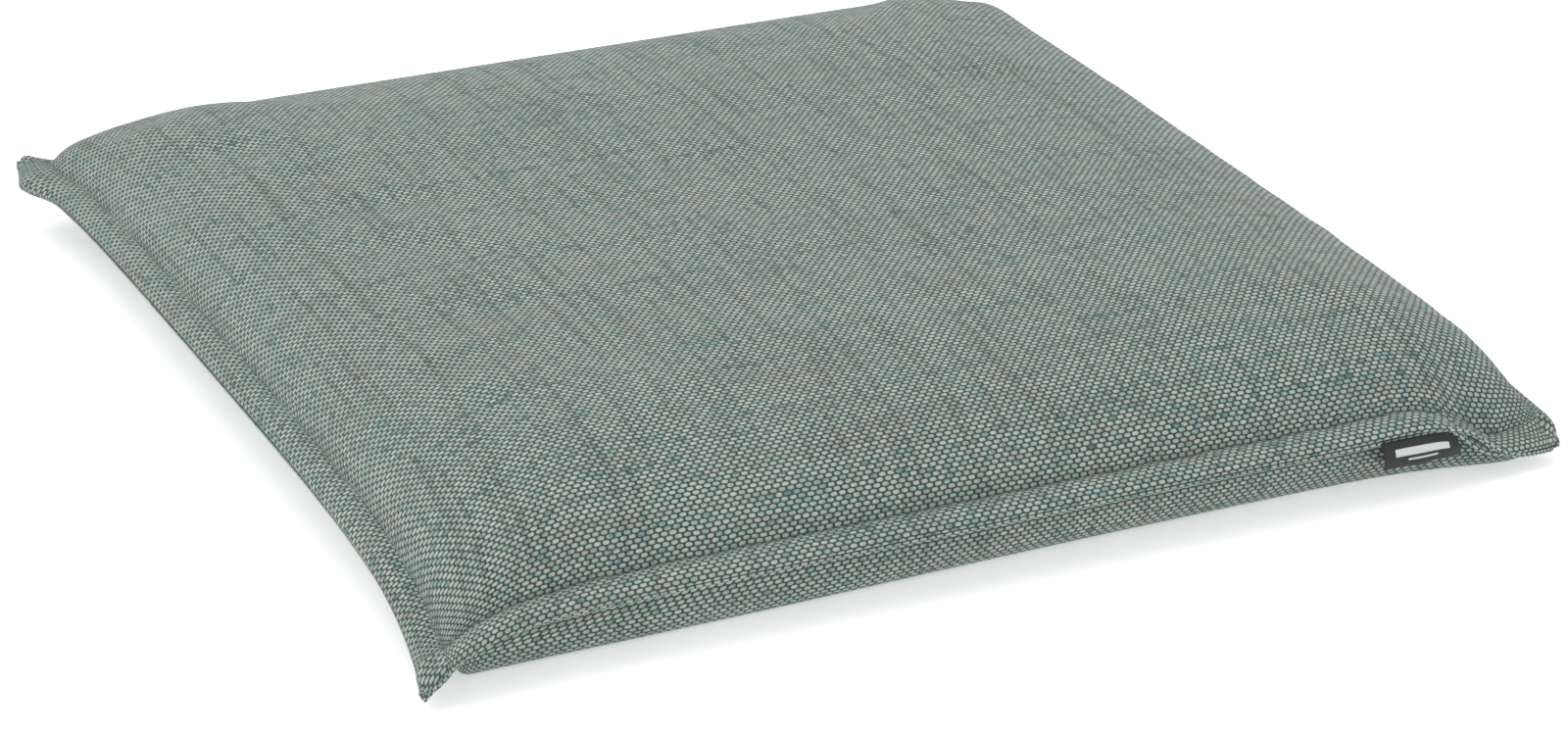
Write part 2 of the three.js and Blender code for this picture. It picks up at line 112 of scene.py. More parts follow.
def new_piece(name, points, faces, uv=None, material=None, smooth=True):
    """A mesh object at the origin, made from points in millimetres and equal-sided faces. uv gives one pair
    for each point and is written to every face corner that uses it."""
    mesh = bpy.data.meshes.new(name)
    points = np.asarray(points, float).reshape(-1, 3) * MM
    faces = np.asarray(faces, np.int32)
    sides = faces.shape[1]
    mesh.vertices.add(len(points))
    mesh.vertices.foreach_set("co", points.ravel())
    mesh.loops.add(faces.size)
    mesh.loops.foreach_set("vertex_index", faces.ravel())
    mesh.polygons.add(len(faces))
    mesh.polygons.foreach_set("loop_start", np.arange(0, faces.size, sides, dtype=np.int32))
    mesh.polygons.foreach_set("loop_total", np.full(len(faces), sides, np.int32))
    mesh.update(calc_edges=True)
    mesh.validate()
    mesh.polygons.foreach_set("use_smooth", np.full(len(mesh.polygons), smooth))
    if uv is not None:
        layer = mesh.uv_layers.new(name="cloth")
        layer.uv.foreach_set("vector", np.asarray(uv, float).reshape(-1, 2)[faces.ravel()].ravel())
    piece = bpy.data.objects.new(name, mesh)
    bpy.context.scene.collection.objects.link(piece)
    if material:
        mesh.materials.append(material)
    return piece


def rim_inward(grid, rim):
    """Unit directions from a grid's rim points to their inner neighbours; a corner's is the sum of two."""
    inward = np.zeros_like(grid)
    inward[0], inward[-1] = grid[1] - grid[0], grid[-2] - grid[-1]
    inward[:, 0] += grid[:, 1] - grid[:, 0]
    inward[:, -1] += grid[:, -2] - grid[:, -1]
    inward = inward.reshape(-1, grid.shape[-1])[rim]
    return inward / np.maximum(np.linalg.norm(inward, axis=1, keepdims=True), 1e-9)


def closed_panel(name, face, back, uv, material, lip=0.0, turn=0.5):
    """A closed shell: the grid of the cloth's face, the grid of its back, and between their rims one more
    ring of points. The ring lies a share, turn, of the way through the cloth and is pushed outwards by lip,
    so the edge is rounded. The pattern's coordinates run on round the edge by the ring's distance from the
    rim."""
    rows, columns = face.shape[:2]
    count = rows * columns
    rim = rim_of(rows, columns)
    edge, flat = face.reshape(-1, 3)[rim], uv.reshape(-1, 2)
    middle = edge * (1 - turn) + back.reshape(-1, 3)[rim] * turn - lip * rim_inward(face, rim)
    turned = flat[rim] - rim_inward(uv, rim) * np.linalg.norm(middle - edge, axis=1)[:, None]
    ring = 2 * count + np.arange(len(rim))
    after = np.roll(np.arange(len(rim)), -1)
    outer = np.stack([rim[after], rim, ring, ring[after]], -1)
    inner = np.stack([ring[after], ring, rim + count, rim[after] + count], -1)
    points = np.concatenate([face.reshape(-1, 3), back.reshape(-1, 3), middle])
    sheets = grid_faces(rows, columns), grid_faces(rows, columns, count, flip=True)
    faces = np.concatenate([*sheets, outer, inner])
    return new_piece(name, points, faces, np.concatenate([flat, flat, turned]), material)


# %% [markdown]
# ## The plan of the pad
# Seen from above the pad is a square whose sides are drawn in between its four ears, because a filled bag
# pulls its edges inwards. The middle of each side is pulled by a few millimetres and the ears not at all. The
# fold, the outermost line of the flange, also rises and falls: the ears droop or turn up.

# %% Plan and rim
HALF = 240.0
FLANGE = 12.5
CROWN = 63.5
SIDE = {
    "front": {"pull": 6.85, "rim": 25.5, "rise": 3.5},
    "rear": {"pull": 12.0, "rim": 17.0, "rise": 6.0},
    "left": {"pull": 12.3, "rim": 25.4, "rise": 5.6},
    "right": {"pull": 13.9, "rim": 21.1, "rise": 8.2},
}
EAR_HEIGHT = {"front_left": 5.2, "front_right": 8.0, "rear_left": 19.0, "rear_right": 6.0}
EAR_DRAW = {"front_left": (3.0, 1.5), "front_right": (8.0, 8.0),
            "rear_left": (5.0, 9.0), "rear_right": (4.0, 4.0)}
EAR_CURL = {"rear_left": 7.0}
LABEL_AT = 0.68  # the label's place along the front, where it props the flange up a little
LABEL_LIFT, LABEL_LIFT_REACH = 0.5, 0.09
DROOP_AT, DROOP_REACH = 0.785, 0.045  # where along the front, and over what share of it, the edge sinks
EAR_ROUND = 9.0
PADDLE = 6.2  # how far the rear left ear spreads sideways beyond its neck
PADDLE_AT, PADDLE_REACH = 0.885, 0.06
BODY = 0.86  # the share of a grid's parameter that lies inside the topstitched line


def flat_run(side):
    """How wide the flange is in plan: its cloth width and its rise make a right-angled triangle."""
    return np.sqrt(FLANGE**2 - SIDE[side]["rise"] ** 2)


def across(s, low_side, high_side):
    """Turns a grid parameter from -1 to 1 into a place from fold to fold, so that plus and minus BODY are
    exactly the two topstitched lines: straight-line steps inside them and others across the flange."""
    seam = 1 - np.where(s < 0, flat_run(low_side), flat_run(high_side)) / HALF
    size = np.abs(s)
    inside = size / BODY * seam
    outside = seam + (1 - seam) * (size - BODY) / (1 - BODY)
    return np.sign(s) * np.where(size <= BODY, inside, outside)


def nearness(u, v):
    """Weights of the front, rear, left and right sides at a place: one over the cube of each distance."""
    gaps = np.stack([1 + v, 1 - v, 1 + u, 1 - u])
    weights = 1 / (1e-3 + gaps) ** 3
    return weights / weights.sum(0)


def side_height(middle, start, end, along, powers):
    """The fold's height along a side: flat in the middle, going to each ear's height as a power."""
    tip, power = np.where(along < 0, start, end), np.where(along < 0, *powers)
    return middle + (tip - middle) * np.abs(along) ** power


def corner_share(u, v, name, power=6):
    """1 at the named ear's tip and falling to nothing along both sides as a power."""
    across_sign = -1 if "left" in name else 1
    along_sign = -1 if "front" in name else 1
    return np.clip(across_sign * u, 0, 1) ** power * np.clip(along_sign * v, 0, 1) ** power


def bell(value, middle, reach):
    """A bell curve: 1 at the middle, and about a third at the reach on either side."""
    return np.exp(-(((value - middle) / reach) ** 2))


def rim_height(u, v):
    """The fold's height at any place: the four sides' heights, mixed by nearness. The front's right end sinks
    to its ear as a tanh, and the label props the front up as a bell curve."""
    ear = EAR_HEIGHT
    front, rear, left, right = (SIDE[side]["rim"] for side in ("front", "rear", "left", "right"))
    droop = 0.5 + 0.5 * np.tanh((u - DROOP_AT) / DROOP_REACH)
    low_right = front + (ear["front_right"] - front) * droop
    lift = LABEL_LIFT * bell(u, LABEL_AT, LABEL_LIFT_REACH)
    sides = np.stack([
        np.where(u < 0, side_height(front, ear["front_left"], 0, u, (10, 10)), low_right) + lift,
        side_height(rear, ear["rear_left"], ear["rear_right"], u, (14.0, 14.0)),
        side_height(left, ear["front_left"], ear["rear_left"], v, (4.0, 3.34)),
        side_height(right, ear["front_right"], ear["rear_right"], v, (5.0, 3.34)),
    ])
    curl = sum(h * corner_share(u, v, name, 12) for name, h in EAR_CURL.items())
    return (sides * nearness(u, v)).sum(0) + curl


def rounded(x, y):
    """Rounds the four ears: in each ear's own small square, (a, b) goes to (a * root(1 - b*b/2),
    b * root(1 - a*a/2)), which turns a square into a quarter of a disc."""
    ears = [(x < 0) & (y < 0), (x >= 0) & (y < 0), x < 0]
    *draws, last = EAR_DRAW.values()
    tip_x, tip_y = (HALF - np.select(ears, [draw[k] for draw in draws], last[k]) for k in (0, 1))
    a = np.clip((np.abs(x) - tip_x + EAR_ROUND) / EAR_ROUND, 0, 1)
    b = np.clip((np.abs(y) - tip_y + EAR_ROUND) / EAR_ROUND, 0, 1)
    dx = EAR_ROUND * a * (1 - np.sqrt(1 - b * b / 2))
    dy = EAR_ROUND * b * (1 - np.sqrt(1 - a * a / 2))
    return x - np.sign(x) * dx, y - np.sign(y) * dy


def plan(u, v):
    """The place in plan: each half side less its pull, which falls to nothing at the ears as a sixth power,
    and less what the ear is drawn in. The rear left ear spreads as a bell curve along its side."""
    pull_x = np.where(u < 0, SIDE["left"]["pull"], SIDE["right"]["pull"]) * (1 - np.abs(v) ** 6)
    pull_y = np.where(v < 0, SIDE["front"]["pull"], SIDE["rear"]["pull"]) * (1 - np.abs(u) ** 6)
    paddle = PADDLE * bell(v, PADDLE_AT, PADDLE_REACH) * np.clip(-u, 0, 1) ** 30
    draw_x, draw_y = (sum(draw[k] * corner_share(u, v, name) for name, draw in EAR_DRAW.items())
                      for k in (0, 1))
    return rounded(u * (HALF - pull_x - draw_x + paddle), v * (HALF - pull_y - draw_y))


print("flange in plan, mm:", {side: round(float(flat_run(side)), 2) for side in SIDE})

# %% [markdown]
# ## The crown, the flange and the underside
# A full cushion is nearly flat on top and turns down steeply near its seam. One power curve in each
# direction, multiplied together, gives that: 1 - |u|^p is flat in the middle and falls fast at the ends. The
# flange is a low puffy ridge, thickest in its middle, with a groove where the topstitching pulls it thin.
# Under the flange the cloth bulges out a little before it turns in to the floor, so its profile is a Bezier
# curve.

# %% Surfaces of the two panels
EDGE_THICK = 0.95
RIDGE = 5.3
UNDER_BEZIER = {  # offsets inwards from the topstitched line, and heights as shares of that line's height
    "front": ((0, -2.5, 1, 14), (1, 0.6, 0, 0)),
    "rear": ((0, 9.06, 18.13, 27.19), (1, 0.6667, 0.3333, 0)),
    "left": ((0, -1.5, 4, 20), (1, 0.6, 0, 0)),
    "right": ((0, -2.5, 1, 14), (1, 0.6, 0, 0)),
}
UNDER_ZONE = 0.16  # the share of the body's half width that the sloping part of the underside takes
UNDER_HALF = HALF - 23  # half the underside's width in plan at the stitches
BUNCHED = 1.3  # how much thicker the flange is at the ears, as a share
CROWN_POWER, CROWN_POWER_REAR, CROWN_ROOT = 8.7, 8.4, 0.632
BELLY = 14.0  # how far the cloth under the front bulges out, in mm
BELLIES = ((0.33, -0.5, 0.45), (0.55, 0.76, 0.14))  # share of that, place across, and reach
BELLY_ALL = 0.15
EAR_FADE, EAR_FADE_FROM = 0.6, 0.93  # the insets shrink by this share at the ears, from this place on


def ridge(s, t):
    """Half the flange's thickness, from q, the share of the way from fold to stitches: it swells as the root
    of q, dies away towards the stitches as 1 - q^1.6, and is never less than the cloth. At the ears, where
    the turned corners bunch up inside, it is up to twice as thick."""
    q = flange_share(s, t)
    bunched = 1 + BUNCHED * (np.abs(s) * np.abs(t)) ** 9
    return EDGE_THICK + 0.86 * RIDGE * bunched * np.sqrt(q) * (1 - q**1.6)


def flange_way(s, t):
    """For each parameter, the share of the way from the fold to the stitches."""
    return [np.clip((1 - np.abs(p)) / (1 - BODY), 0, 1) for p in (s, t)]


def flange_share(s, t):
    """0 on the fold, 1 on the stitches and inside them. The corner's contour is rounded with a cube norm."""
    qx, qy = flange_way(s, t)
    return 1 - np.clip(((1 - qx) ** 3 + (1 - qy) ** 3) ** (1 / 3), 0, 1)


def middle_layer(s, t):
    """The sheet half way between the panels: plan place, the seam's height there, and the flange's rise."""
    u, v = across(s, "left", "right"), across(t, "front", "rear")
    x, y = plan(u, v)
    weights = nearness(u, v)
    rise = sum(SIDE[side]["rise"] * w for side, w in zip(SIDE, weights))
    return x, y, rim_height(u, v) + rise * np.minimum(*flange_way(s, t))


def crown_share(s, t):
    """How far the top has risen from the seam to the crown: a root of 1 - a^p in each direction, multiplied.
    The rear left shoulder is fuller: there the two are joined as a cube norm of what each still lacks."""
    a, b = np.clip(np.abs(s) / BODY, 0, 1), np.clip(np.abs(t) / BODY, 0, 1)
    b_power = np.where(t > 0, CROWN_POWER_REAR, CROWN_POWER)
    in_x, in_y = (1 - a**CROWN_POWER) ** CROWN_ROOT, (1 - b**b_power) ** CROWN_ROOT
    full = 1 - np.minimum(((1 - in_x) ** 3 + (1 - in_y) ** 3) ** (1 / 3), 1)
    rear_left = (a * b) ** 3 * (s < 0) * (t > 0)
    return in_x * in_y * (1 - rear_left) + full * rear_left


def top_surface(s, t):
    """The upper panel's face: the middle layer, half the flange's thickness, and the crown."""
    x, y, seam = middle_layer(s, t)
    f = crown_share(s, t)
    return np.stack([x, y, seam * (1 - f) + CROWN * f + ridge(s, t) * (1 - f)], -1)


def bezier(control, t):
    """A cubic Bezier curve through four controls."""
    a, b, c, d = control
    return a * (1 - t) ** 3 + 3 * b * t * (1 - t) ** 2 + 3 * c * t**2 * (1 - t) + d * t**3


def under_profile(s, low_side, high_side, half, tuck=1.0):
    """Along one direction: the offset inwards, in mm, and the share of the seam's height, from the side's
    Bezier curve within the sloping zone. Inside the zone the offset shrinks evenly to nothing."""
    depth = 1 - np.clip(np.abs(s) / BODY, 0, 1)
    t = np.clip(depth / UNDER_ZONE, 0, 1)
    offset, height = np.zeros_like(t), np.ones_like(t)
    for side, here in ((low_side, s < 0), (high_side, s >= 0)):
        inwards, share = UNDER_BEZIER[side]
        inwards = [offset_here * tuck if side == "left" else offset_here for offset_here in inwards]
        linear = inwards[3] + (half - inwards[3]) * (depth - UNDER_ZONE) / (1 - UNDER_ZONE)
        curve = np.where(t < 1, bezier(inwards, t), linear)
        offset = np.where(here, curve - half * depth, offset)
        height = np.where(here, bezier(share, t), height)
    return offset, height


def height_near_floor(t):
    """0 at the topstitched line and 1 from where the cloth reaches the floor, then 0 again at the middle: a
    smooth step, then a straight fall, so that what is added to the inset dies away."""
    depth = 1 - np.clip(np.abs(t) / BODY, 0, 1)
    step = np.clip(depth / UNDER_ZONE, 0, 1)
    return step**2 * (3 - 2 * step) * np.clip((1 - depth) / (1 - UNDER_ZONE), 0, 1)


def ear_fade(p):
    """1 along most of a side, falling in a straight line near its ends."""
    reach = 1 - EAR_FADE_FROM
    return 1 - np.clip(np.abs(p) / BODY - EAR_FADE_FROM, 0, reach) / reach * EAR_FADE


def under_surface(s, t):
    """The lower panel's face: across the flange the middle layer less half its thickness; inside it, the two
    profiles joined as a fourth-power norm, so that the height falls to the floor from every side. Under the
    front the cloth bulges out near the floor, most at two places across, each a bell curve."""
    x, y, seam = middle_layer(s, t)
    tuck = 1 - 0.45 * np.clip((-t - 0.4) / 0.4, 0, 1)
    inset_x, height_x = under_profile(s, "left", "right", UNDER_HALF, tuck)
    inset_y, height_y = under_profile(t, "front", "rear", UNDER_HALF)
    belly = sum(share * bell(s, middle, reach) for share, middle, reach in BELLIES)
    inset_y = np.where(t < 0, inset_y - BELLY * (BELLY_ALL + belly) * height_near_floor(t), inset_y)
    seam = seam - ridge(s, t)
    high = np.minimum((height_x**4 + height_y**4) ** 0.25, 1)
    x = x - np.sign(s) * inset_x * ear_fade(t) * (np.abs(s) < BODY)
    y = y - np.sign(t) * inset_y * ear_fade(s) * (np.abs(t) < BODY)
    return np.stack([x, y, seam * high], -1)


def grid_lines(flange_steps, shoulder_steps, middle_steps, power=1.6):
    """Parameter values from -1 to 1: even steps across the flange, then steps that start small at the
    stitches and grow as a power towards the middle, where they become even."""
    shoulder = np.linspace(0, 1, shoulder_steps + 1) ** power * 0.14
    inner = np.linspace(shoulder[-1], 1, middle_steps + 1)[1:]
    depth = np.concatenate([shoulder, inner])
    body = BODY * (1 - depth)
    flange = np.linspace(1, BODY, flange_steps + 1)[:-1]
    half = np.concatenate([flange, body])
    return np.unique(np.round(np.concatenate([half, -half]), 9))


lines = grid_lines(13, 24, 54)
S, T = np.meshgrid(lines, lines)
top_face = top_surface(S, T)
print("cover grid", S.shape, "top from", top_face.reshape(-1, 3).min(0).round(1), "to",
      top_face.reshape(-1, 3).max(0).round(1))

# %% [markdown]
# ## The cloth is simulated
# Formulas alone look machine-made. So the filled bag is also run as cloth: a closed mesh of both panels is
# blown up with a little pressure, held at the topstitched line, with slightly more cloth than the shape
# needs. It swells and ripples near the seam, as gathered tweed does. Only the fine upright part of how its
# top moved is kept, no more than SWELL_LIMIT, and laid onto the dense upper panel.

# %% Cloth simulation of the filled bag
SIM_LINES = 111
SWELL_LIMIT = 1.2
FRAMES = 20
CLOTH_SETTINGS = {
    "quality": 6, "mass": 0.35, "tension_stiffness": 18, "compression_stiffness": 18, "shear_stiffness": 6,
    "bending_stiffness": 0.6, "shrink_min": -0.022, "use_pressure": True, "uniform_pressure_force": 4,
    "vertex_group_mass": "held",
}


def simulated_moves():
    """Runs the bag as cloth and returns the grid parameters and how far each top point moved, in mm."""
    place = np.linspace(-1, 1, SIM_LINES)
    place = np.sign(place) * (1 - (1 - np.abs(place)) ** 1.25) * BODY
    s, t = np.meshgrid(place, place)
    upper, lower = top_surface(s, t), under_surface(s, t)
    upper[..., 2] -= 1.5 * crown_share(s, t)
    count = s.size
    rim = rim_of(*s.shape)
    lower_number = np.arange(count) + count
    lower_number[rim] = rim
    faces = grid_faces(*s.shape)
    faces = np.concatenate([faces, lower_number[faces[:, ::-1]]])
    used, faces = np.unique(faces, return_inverse=True)
    points = np.concatenate([upper.reshape(-1, 3), lower.reshape(-1, 3)])[used]
    bag = new_piece("bag", points, faces.reshape(-1, 4))
    held = bag.vertex_groups.new(name="held")
    fixed = np.concatenate([rim, np.arange(count, len(used))])
    held.add(fixed.tolist(), 1.0, "REPLACE")
    cloth = bag.modifiers.new("cloth", "CLOTH")
    for setting, value in CLOTH_SETTINGS.items():
        setattr(cloth.settings, setting, value)
    cloth.settings.effector_weights.gravity = 0
    cloth.collision_settings.use_self_collision = False
    cloth.collision_settings.use_collision = False
    cloth.point_cache.frame_start, cloth.point_cache.frame_end = 1, FRAMES
    scene = bpy.context.scene
    for number in range(1, FRAMES + 1):
        scene.frame_set(number)
    moved = bag.evaluated_get(bpy.context.evaluated_depsgraph_get()).data
    after = np.empty(len(used) * 3)
    moved.vertices.foreach_get("co", after)
    after = after.reshape(-1, 3)[:count].reshape(SIM_LINES, SIM_LINES, 3) / MM
    scene.frame_set(1)
    bpy.data.objects.remove(bag)
    return place, after - upper


def blurred(field, sweeps):
    """A grid field smoothed by repeated averaging with its four neighbours."""
    for _ in range(sweeps):
        edge = np.pad(field, ((1, 1), (1, 1)), mode="edge")
        field = (edge[1:-1, :-2] + edge[1:-1, 2:] + edge[:-2, 1:-1] + edge[2:, 1:-1] + 2 * field) / 6
    return field


def resampled(place, field, s_lines, t_lines):
    """A grid field read between its own lines: linear interpolation along one direction, then the other."""
    column = np.clip(np.interp(s_lines, place, np.arange(len(place))), 0, len(place) - 1.001)
    row = np.clip(np.interp(t_lines, place, np.arange(len(place))), 0, len(place) - 1.001)
    c, r = column.astype(int), row.astype(int)
    fc, fr = (column - c)[None, :], (row - r)[:, None]
    near = field[r][:, c] * (1 - fc) + field[r][:, c + 1] * fc
    far = field[r + 1][:, c] * (1 - fc) + field[r + 1][:, c + 1] * fc
    return near * (1 - fr) + far * fr


sim_place, swell = np.linspace(-BODY, BODY, SIM_LINES), np.zeros((SIM_LINES, SIM_LINES))
sim_place, moves = simulated_moves()
size = np.linalg.norm(moves, axis=-1)
rise = moves[..., 2]
middle_s, middle_t = np.meshgrid(sim_place, sim_place)
fade = np.clip(crown_share(middle_s, middle_t) * 1.6 - 0.25, 0, 1)
swell = np.clip(rise - blurred(rise, 120), -SWELL_LIMIT, SWELL_LIMIT)
swell = blurred(swell, 3) * fade
print("simulated top moved up to", round(float(size.max()), 2), "mm; kept", swell.min().round(2), "to",
      swell.max().round(2), "mm")

# %% [markdown]
# ## Writing a material in code
# A node material is a small graph. The helpers below add a node and plug values or other nodes into it, so a
# formula reads like a formula. Anything that is the same all over, such as sheen, is set on the shader's own
# socket and never passes through a node.

# %% Material helpers
def feed(material, socket, value):
    """Links a socket or sets a constant."""
    if isinstance(value, bpy.types.NodeSocket):
        material.node_tree.links.new(value, socket)
    else:
        socket.default_value = value


def node(material, kind, inputs=None, **settings):
    """Adds a node, sets its properties, feeds its inputs by name or number, and returns it."""
    made = material.node_tree.nodes.new(kind)
    for key, value in settings.items():
        setattr(made, key, value)
    for key, value in (inputs or {}).items():
        feed(material, made.inputs[key], value)
    return made


def maths(material, operation, *values, clamp=False):
    """One arithmetic step."""
    settings = {"operation": operation, "use_clamp": clamp}
    return node(material, "ShaderNodeMath", dict(enumerate(values)), **settings).outputs[0]


def plus(material, first, second, clamp=False):
    """The sum of two values."""
    return maths(material, "ADD", first, second, clamp=clamp)


def minus(material, first, second):
    """The first value less the second."""
    return maths(material, "SUBTRACT", first, second)


def times(material, first, second):
    """The product of two values."""
    return maths(material, "MULTIPLY", first, second)


def swing(material, value, strength):
    """A value about 0.5 as one about 0, times a strength."""
    return times(material, minus(material, value, 0.5), strength)


def vector(material, x, y, z=0.0):
    """Joins numbers into a vector."""
    return node(material, "ShaderNodeCombineXYZ", {0: x, 1: y, 2: z}).outputs[0]


def noise(material, place, scale, detail=2.0, roughness=0.5, dimensions="3D"):
    """Smooth noise about 0.5 at a place."""
    inputs = {"Vector": place, "Scale": scale, "Detail": detail, "Roughness": roughness}
    return node(material, "ShaderNodeTexNoise", inputs, noise_dimensions=dimensions).outputs["Fac"]


def ramp(material, share, stops):
    """A row of colours: each stop is a place from 0 to 1 and an sRGB hex colour."""
    made = node(material, "ShaderNodeValToRGB", {"Fac": share})
    points = made.color_ramp.elements
    while len(points) < len(stops):
        points.new(0.5)
    for point, (place, colour) in zip(points, stops):
        point.position, point.color = place, linear(colour)
    return made.outputs["Color"]


def mapped(material, value, low, high, to_low=0.0, to_high=1.0):
    """A value carried in a straight line from one range to another, and held at its ends."""
    inputs = {"Value": value, 1: low, 2: high, 3: to_low, 4: to_high}
    return node(material, "ShaderNodeMapRange", inputs).outputs[0]


def mixed(material, share, first, second, blend="MIX"):
    """Two colours mixed by a share. The mix node's colours are its inputs 6 and 7 and its output 2."""
    inputs = {"Factor": share, 6: first, 7: second}
    return node(material, "ShaderNodeMix", inputs, data_type="RGBA", blend_type=blend).outputs[2]


def linear(colour):
    """An sRGB hex colour as linear light: each channel c goes to about ((c + 0.055) / 1.055) ^ 2.4."""
    srgb = np.array([int(colour[i:i + 2], 16) for i in (1, 3, 5)]) / 255
    light = np.where(srgb <= 0.04045, srgb / 12.92, ((srgb + 0.055) / 1.055) ** 2.4)
    return (*light.tolist(), 1.0)


def new_material(name, roughness=0.8, metallic=0.0, sheen=0.0, specular=0.5):
    """A material with one Principled shader and its constants."""
    material = bpy.data.materials.new(name)
    material.use_nodes = True
    shader = material.node_tree.nodes["Principled BSDF"]
    shader.inputs["Roughness"].default_value = roughness
    shader.inputs["Metallic"].default_value = metallic
    shader.inputs["Sheen Weight"].default_value = sheen
    shader.inputs["Sheen Roughness"].default_value = 0.5
    shader.inputs["Specular IOR Level"].default_value = specular
    return material, shader


def relief(material, shader, height, depth):
    """Bump: the height, 0 to 1, times a depth in metres."""
    bump = node(material, "ShaderNodeBump", {"Height": height, "Distance": depth, "Strength": 1.0})
    feed(material, shader.inputs["Normal"], bump.outputs["Normal"])


def object_place(material):
    """The object's own coordinates in metres."""
    return node(material, "ShaderNodeTexCoord").outputs["Object"]


def cloth_place(material):
    """The cloth's own coordinates in millimetres, from the piece's UV map."""
    place = node(material, "ShaderNodeUVMap", uv_map="cloth").outputs["UV"]
    split = node(material, "ShaderNodeSeparateXYZ", {0: place})
    return place, split.outputs[0], split.outputs[1]


# %% [markdown]
# ## Tweed
# The cover is a coarse outdoor tweed. Thick marled yarn shows as rows of small ovals, and every other row is
# shifted by half an oval, as in brickwork. Dark fine warp shows in the gaps. The yarn changes colour along
# its length, and a few rows and a few warp lines are darker for a long way, which makes a faint plaid.
#
# It could be an image, but a formula has no edge and no resolution: floor() numbers each oval, and the number
# picks its tint.

# %% Tweed material
OVAL_PITCH, ROW_PITCH = 3.28, 1.845
OVAL_LONG, OVAL_WIDE = 0.77, 0.85  # an oval's shares of its pitch and of its row
YARN_TINTS = [
    (0.0, "#5A7678"), (0.2, "#82A09D"), (0.42, "#A2B6AE"),
    (0.6, "#B1BDB3"), (0.8, "#B6BEB4"), (1.0, "#C4CBC2"),
]
GAP_TINTS = [(0.3, "#2F4043"), (0.5, "#46504B"), (0.7, "#353D37")]


def tweed(name, tints, gap, seed):
    """Bricks of ovals: the height in each is root(1 - |a|^3 - |b|^2.6), with a and b the distances from its
    middle in shares of its half length and half width. The tone is a sum of five parts: one number for each
    oval, slow noise along each weft row, two sizes of spots, and a constant. The colour is then multiplied
    by 0.70 + 0.30 times the height, painted shade that darkens each oval towards its rim, and by the darker
    rows and warp lines of the yarn."""
    material, shader = new_material(name, roughness=0.86, sheen=0.18, specular=0.25)
    m = material
    place, along, up = cloth_place(m)
    moved = {0: place, 1: (seed, 3.7 * seed, 0)}
    shifted = node(m, "ShaderNodeVectorMath", moved, operation="ADD").outputs[0]
    drift = swing(m, noise(m, shifted, 0.11, 3.0, 0.6, "2D"), 0.5)
    sway = swing(m, noise(m, shifted, 0.021, 2.0, 0.5, "2D"), 0.9)
    row_place = maths(m, "DIVIDE", plus(m, up, times(m, drift, 0.28)), ROW_PITCH)
    row = maths(m, "FLOOR", row_place)
    b = swing(m, minus(m, row_place, row), 2 / OVAL_WIDE)
    odd = times(m, maths(m, "FLOORED_MODULO", row, 2.0), 0.5)
    column_place = plus(m, maths(m, "DIVIDE", plus(m, along, plus(m, drift, sway)), OVAL_PITCH), odd)
    column = maths(m, "FLOOR", column_place)
    a = swing(m, minus(m, column_place, column), 2 / OVAL_LONG)
    reach = plus(m, maths(m, "POWER", maths(m, "ABSOLUTE", a), 3.0),
                 maths(m, "POWER", maths(m, "ABSOLUTE", b), 2.6))
    height = maths(m, "SQRT", maths(m, "MAXIMUM", minus(m, 1.0, reach), 0.0))
    warp_line = maths(m, "FLOOR", minus(m, times(m, column_place, 2.0), times(m, odd, 2.0)))
    each = node(m, "ShaderNodeTexWhiteNoise", {"Vector": vector(m, column, row, seed)},
                noise_dimensions="3D").outputs["Value"]
    weft_yarn = noise(m, vector(m, times(m, along, 0.009), times(m, row, 5.31)), 1.0, 1.5, 0.5, "2D")
    warp_yarn = noise(m, vector(m, times(m, warp_line, 3.17), times(m, up, 0.008)), 1.0, 2.0, 0.6, "2D")
    tone = times(m, each, 0.44)
    tone = plus(m, tone, swing(m, weft_yarn, 0.8))
    tone = plus(m, tone, swing(m, noise(m, shifted, 0.34, 2.0, 0.6, "2D"), 0.9))
    tone = plus(m, tone, swing(m, noise(m, shifted, 1.3, 2.0, 0.6, "2D"), 0.8))
    tone = plus(m, tone, 0.28, clamp=True)
    yarn = ramp(m, tone, tints)
    dark = times(m, mapped(m, weft_yarn, 0.54, 0.66, 1.0, 0.78), mapped(m, warp_yarn, 0.54, 0.68, 1.0, 0.76))
    # Painted shade: each oval darkens from its middle to 0.70 at its rim, times the darker yarn rows and warp
    # lines.
    painted_shade_and_dark_yarn = times(m, plus(m, times(m, height, 0.30), 0.70), dark)
    painted_shade_and_dark_yarn_grey = node(m, "ShaderNodeCombineColor", {0: painted_shade_and_dark_yarn, 1: painted_shade_and_dark_yarn, 2: painted_shade_and_dark_yarn}).outputs[0]
    yarn = mixed(m, 1.0, yarn, painted_shade_and_dark_yarn_grey, "MULTIPLY")
    cover = mapped(m, reach, 0.86, 1.16, 1.0, 0.0)
    feed(m, shader.inputs["Base Color"], mixed(m, cover, ramp(m, warp_yarn, gap), yarn))
    fibre = noise(m, place, 2.6, 3.0, 0.7, "2D")
    relief(m, shader, plus(m, height, times(m, fibre, 0.35)), 0.00042)
    return material


tweed_cloth = tweed("tweed_cloth", YARN_TINTS, GAP_TINTS, 11.0)
print("tweed:", len(tweed_cloth.node_tree.nodes), "nodes")

# %% [markdown]
# ## The cover's three panels
# The upper panel is one grid. The underside is two, because the zip's slot parts it: the large lower panel in
# front, the narrow rear strip behind. Each grid runs exactly to its seam, and the weave's coordinates are
# lengths measured along the curved cloth, so that the pattern doesn't stretch on the steep sides.

# %% Cover panels
CLOTH = 0.9
PUCKER = 0.42
PUCKER_SEED = {1: 5, -1: 6}
PUCKER_WAVES = 7
COVER_LIP, COVER_TURN = 0.55, 0.9


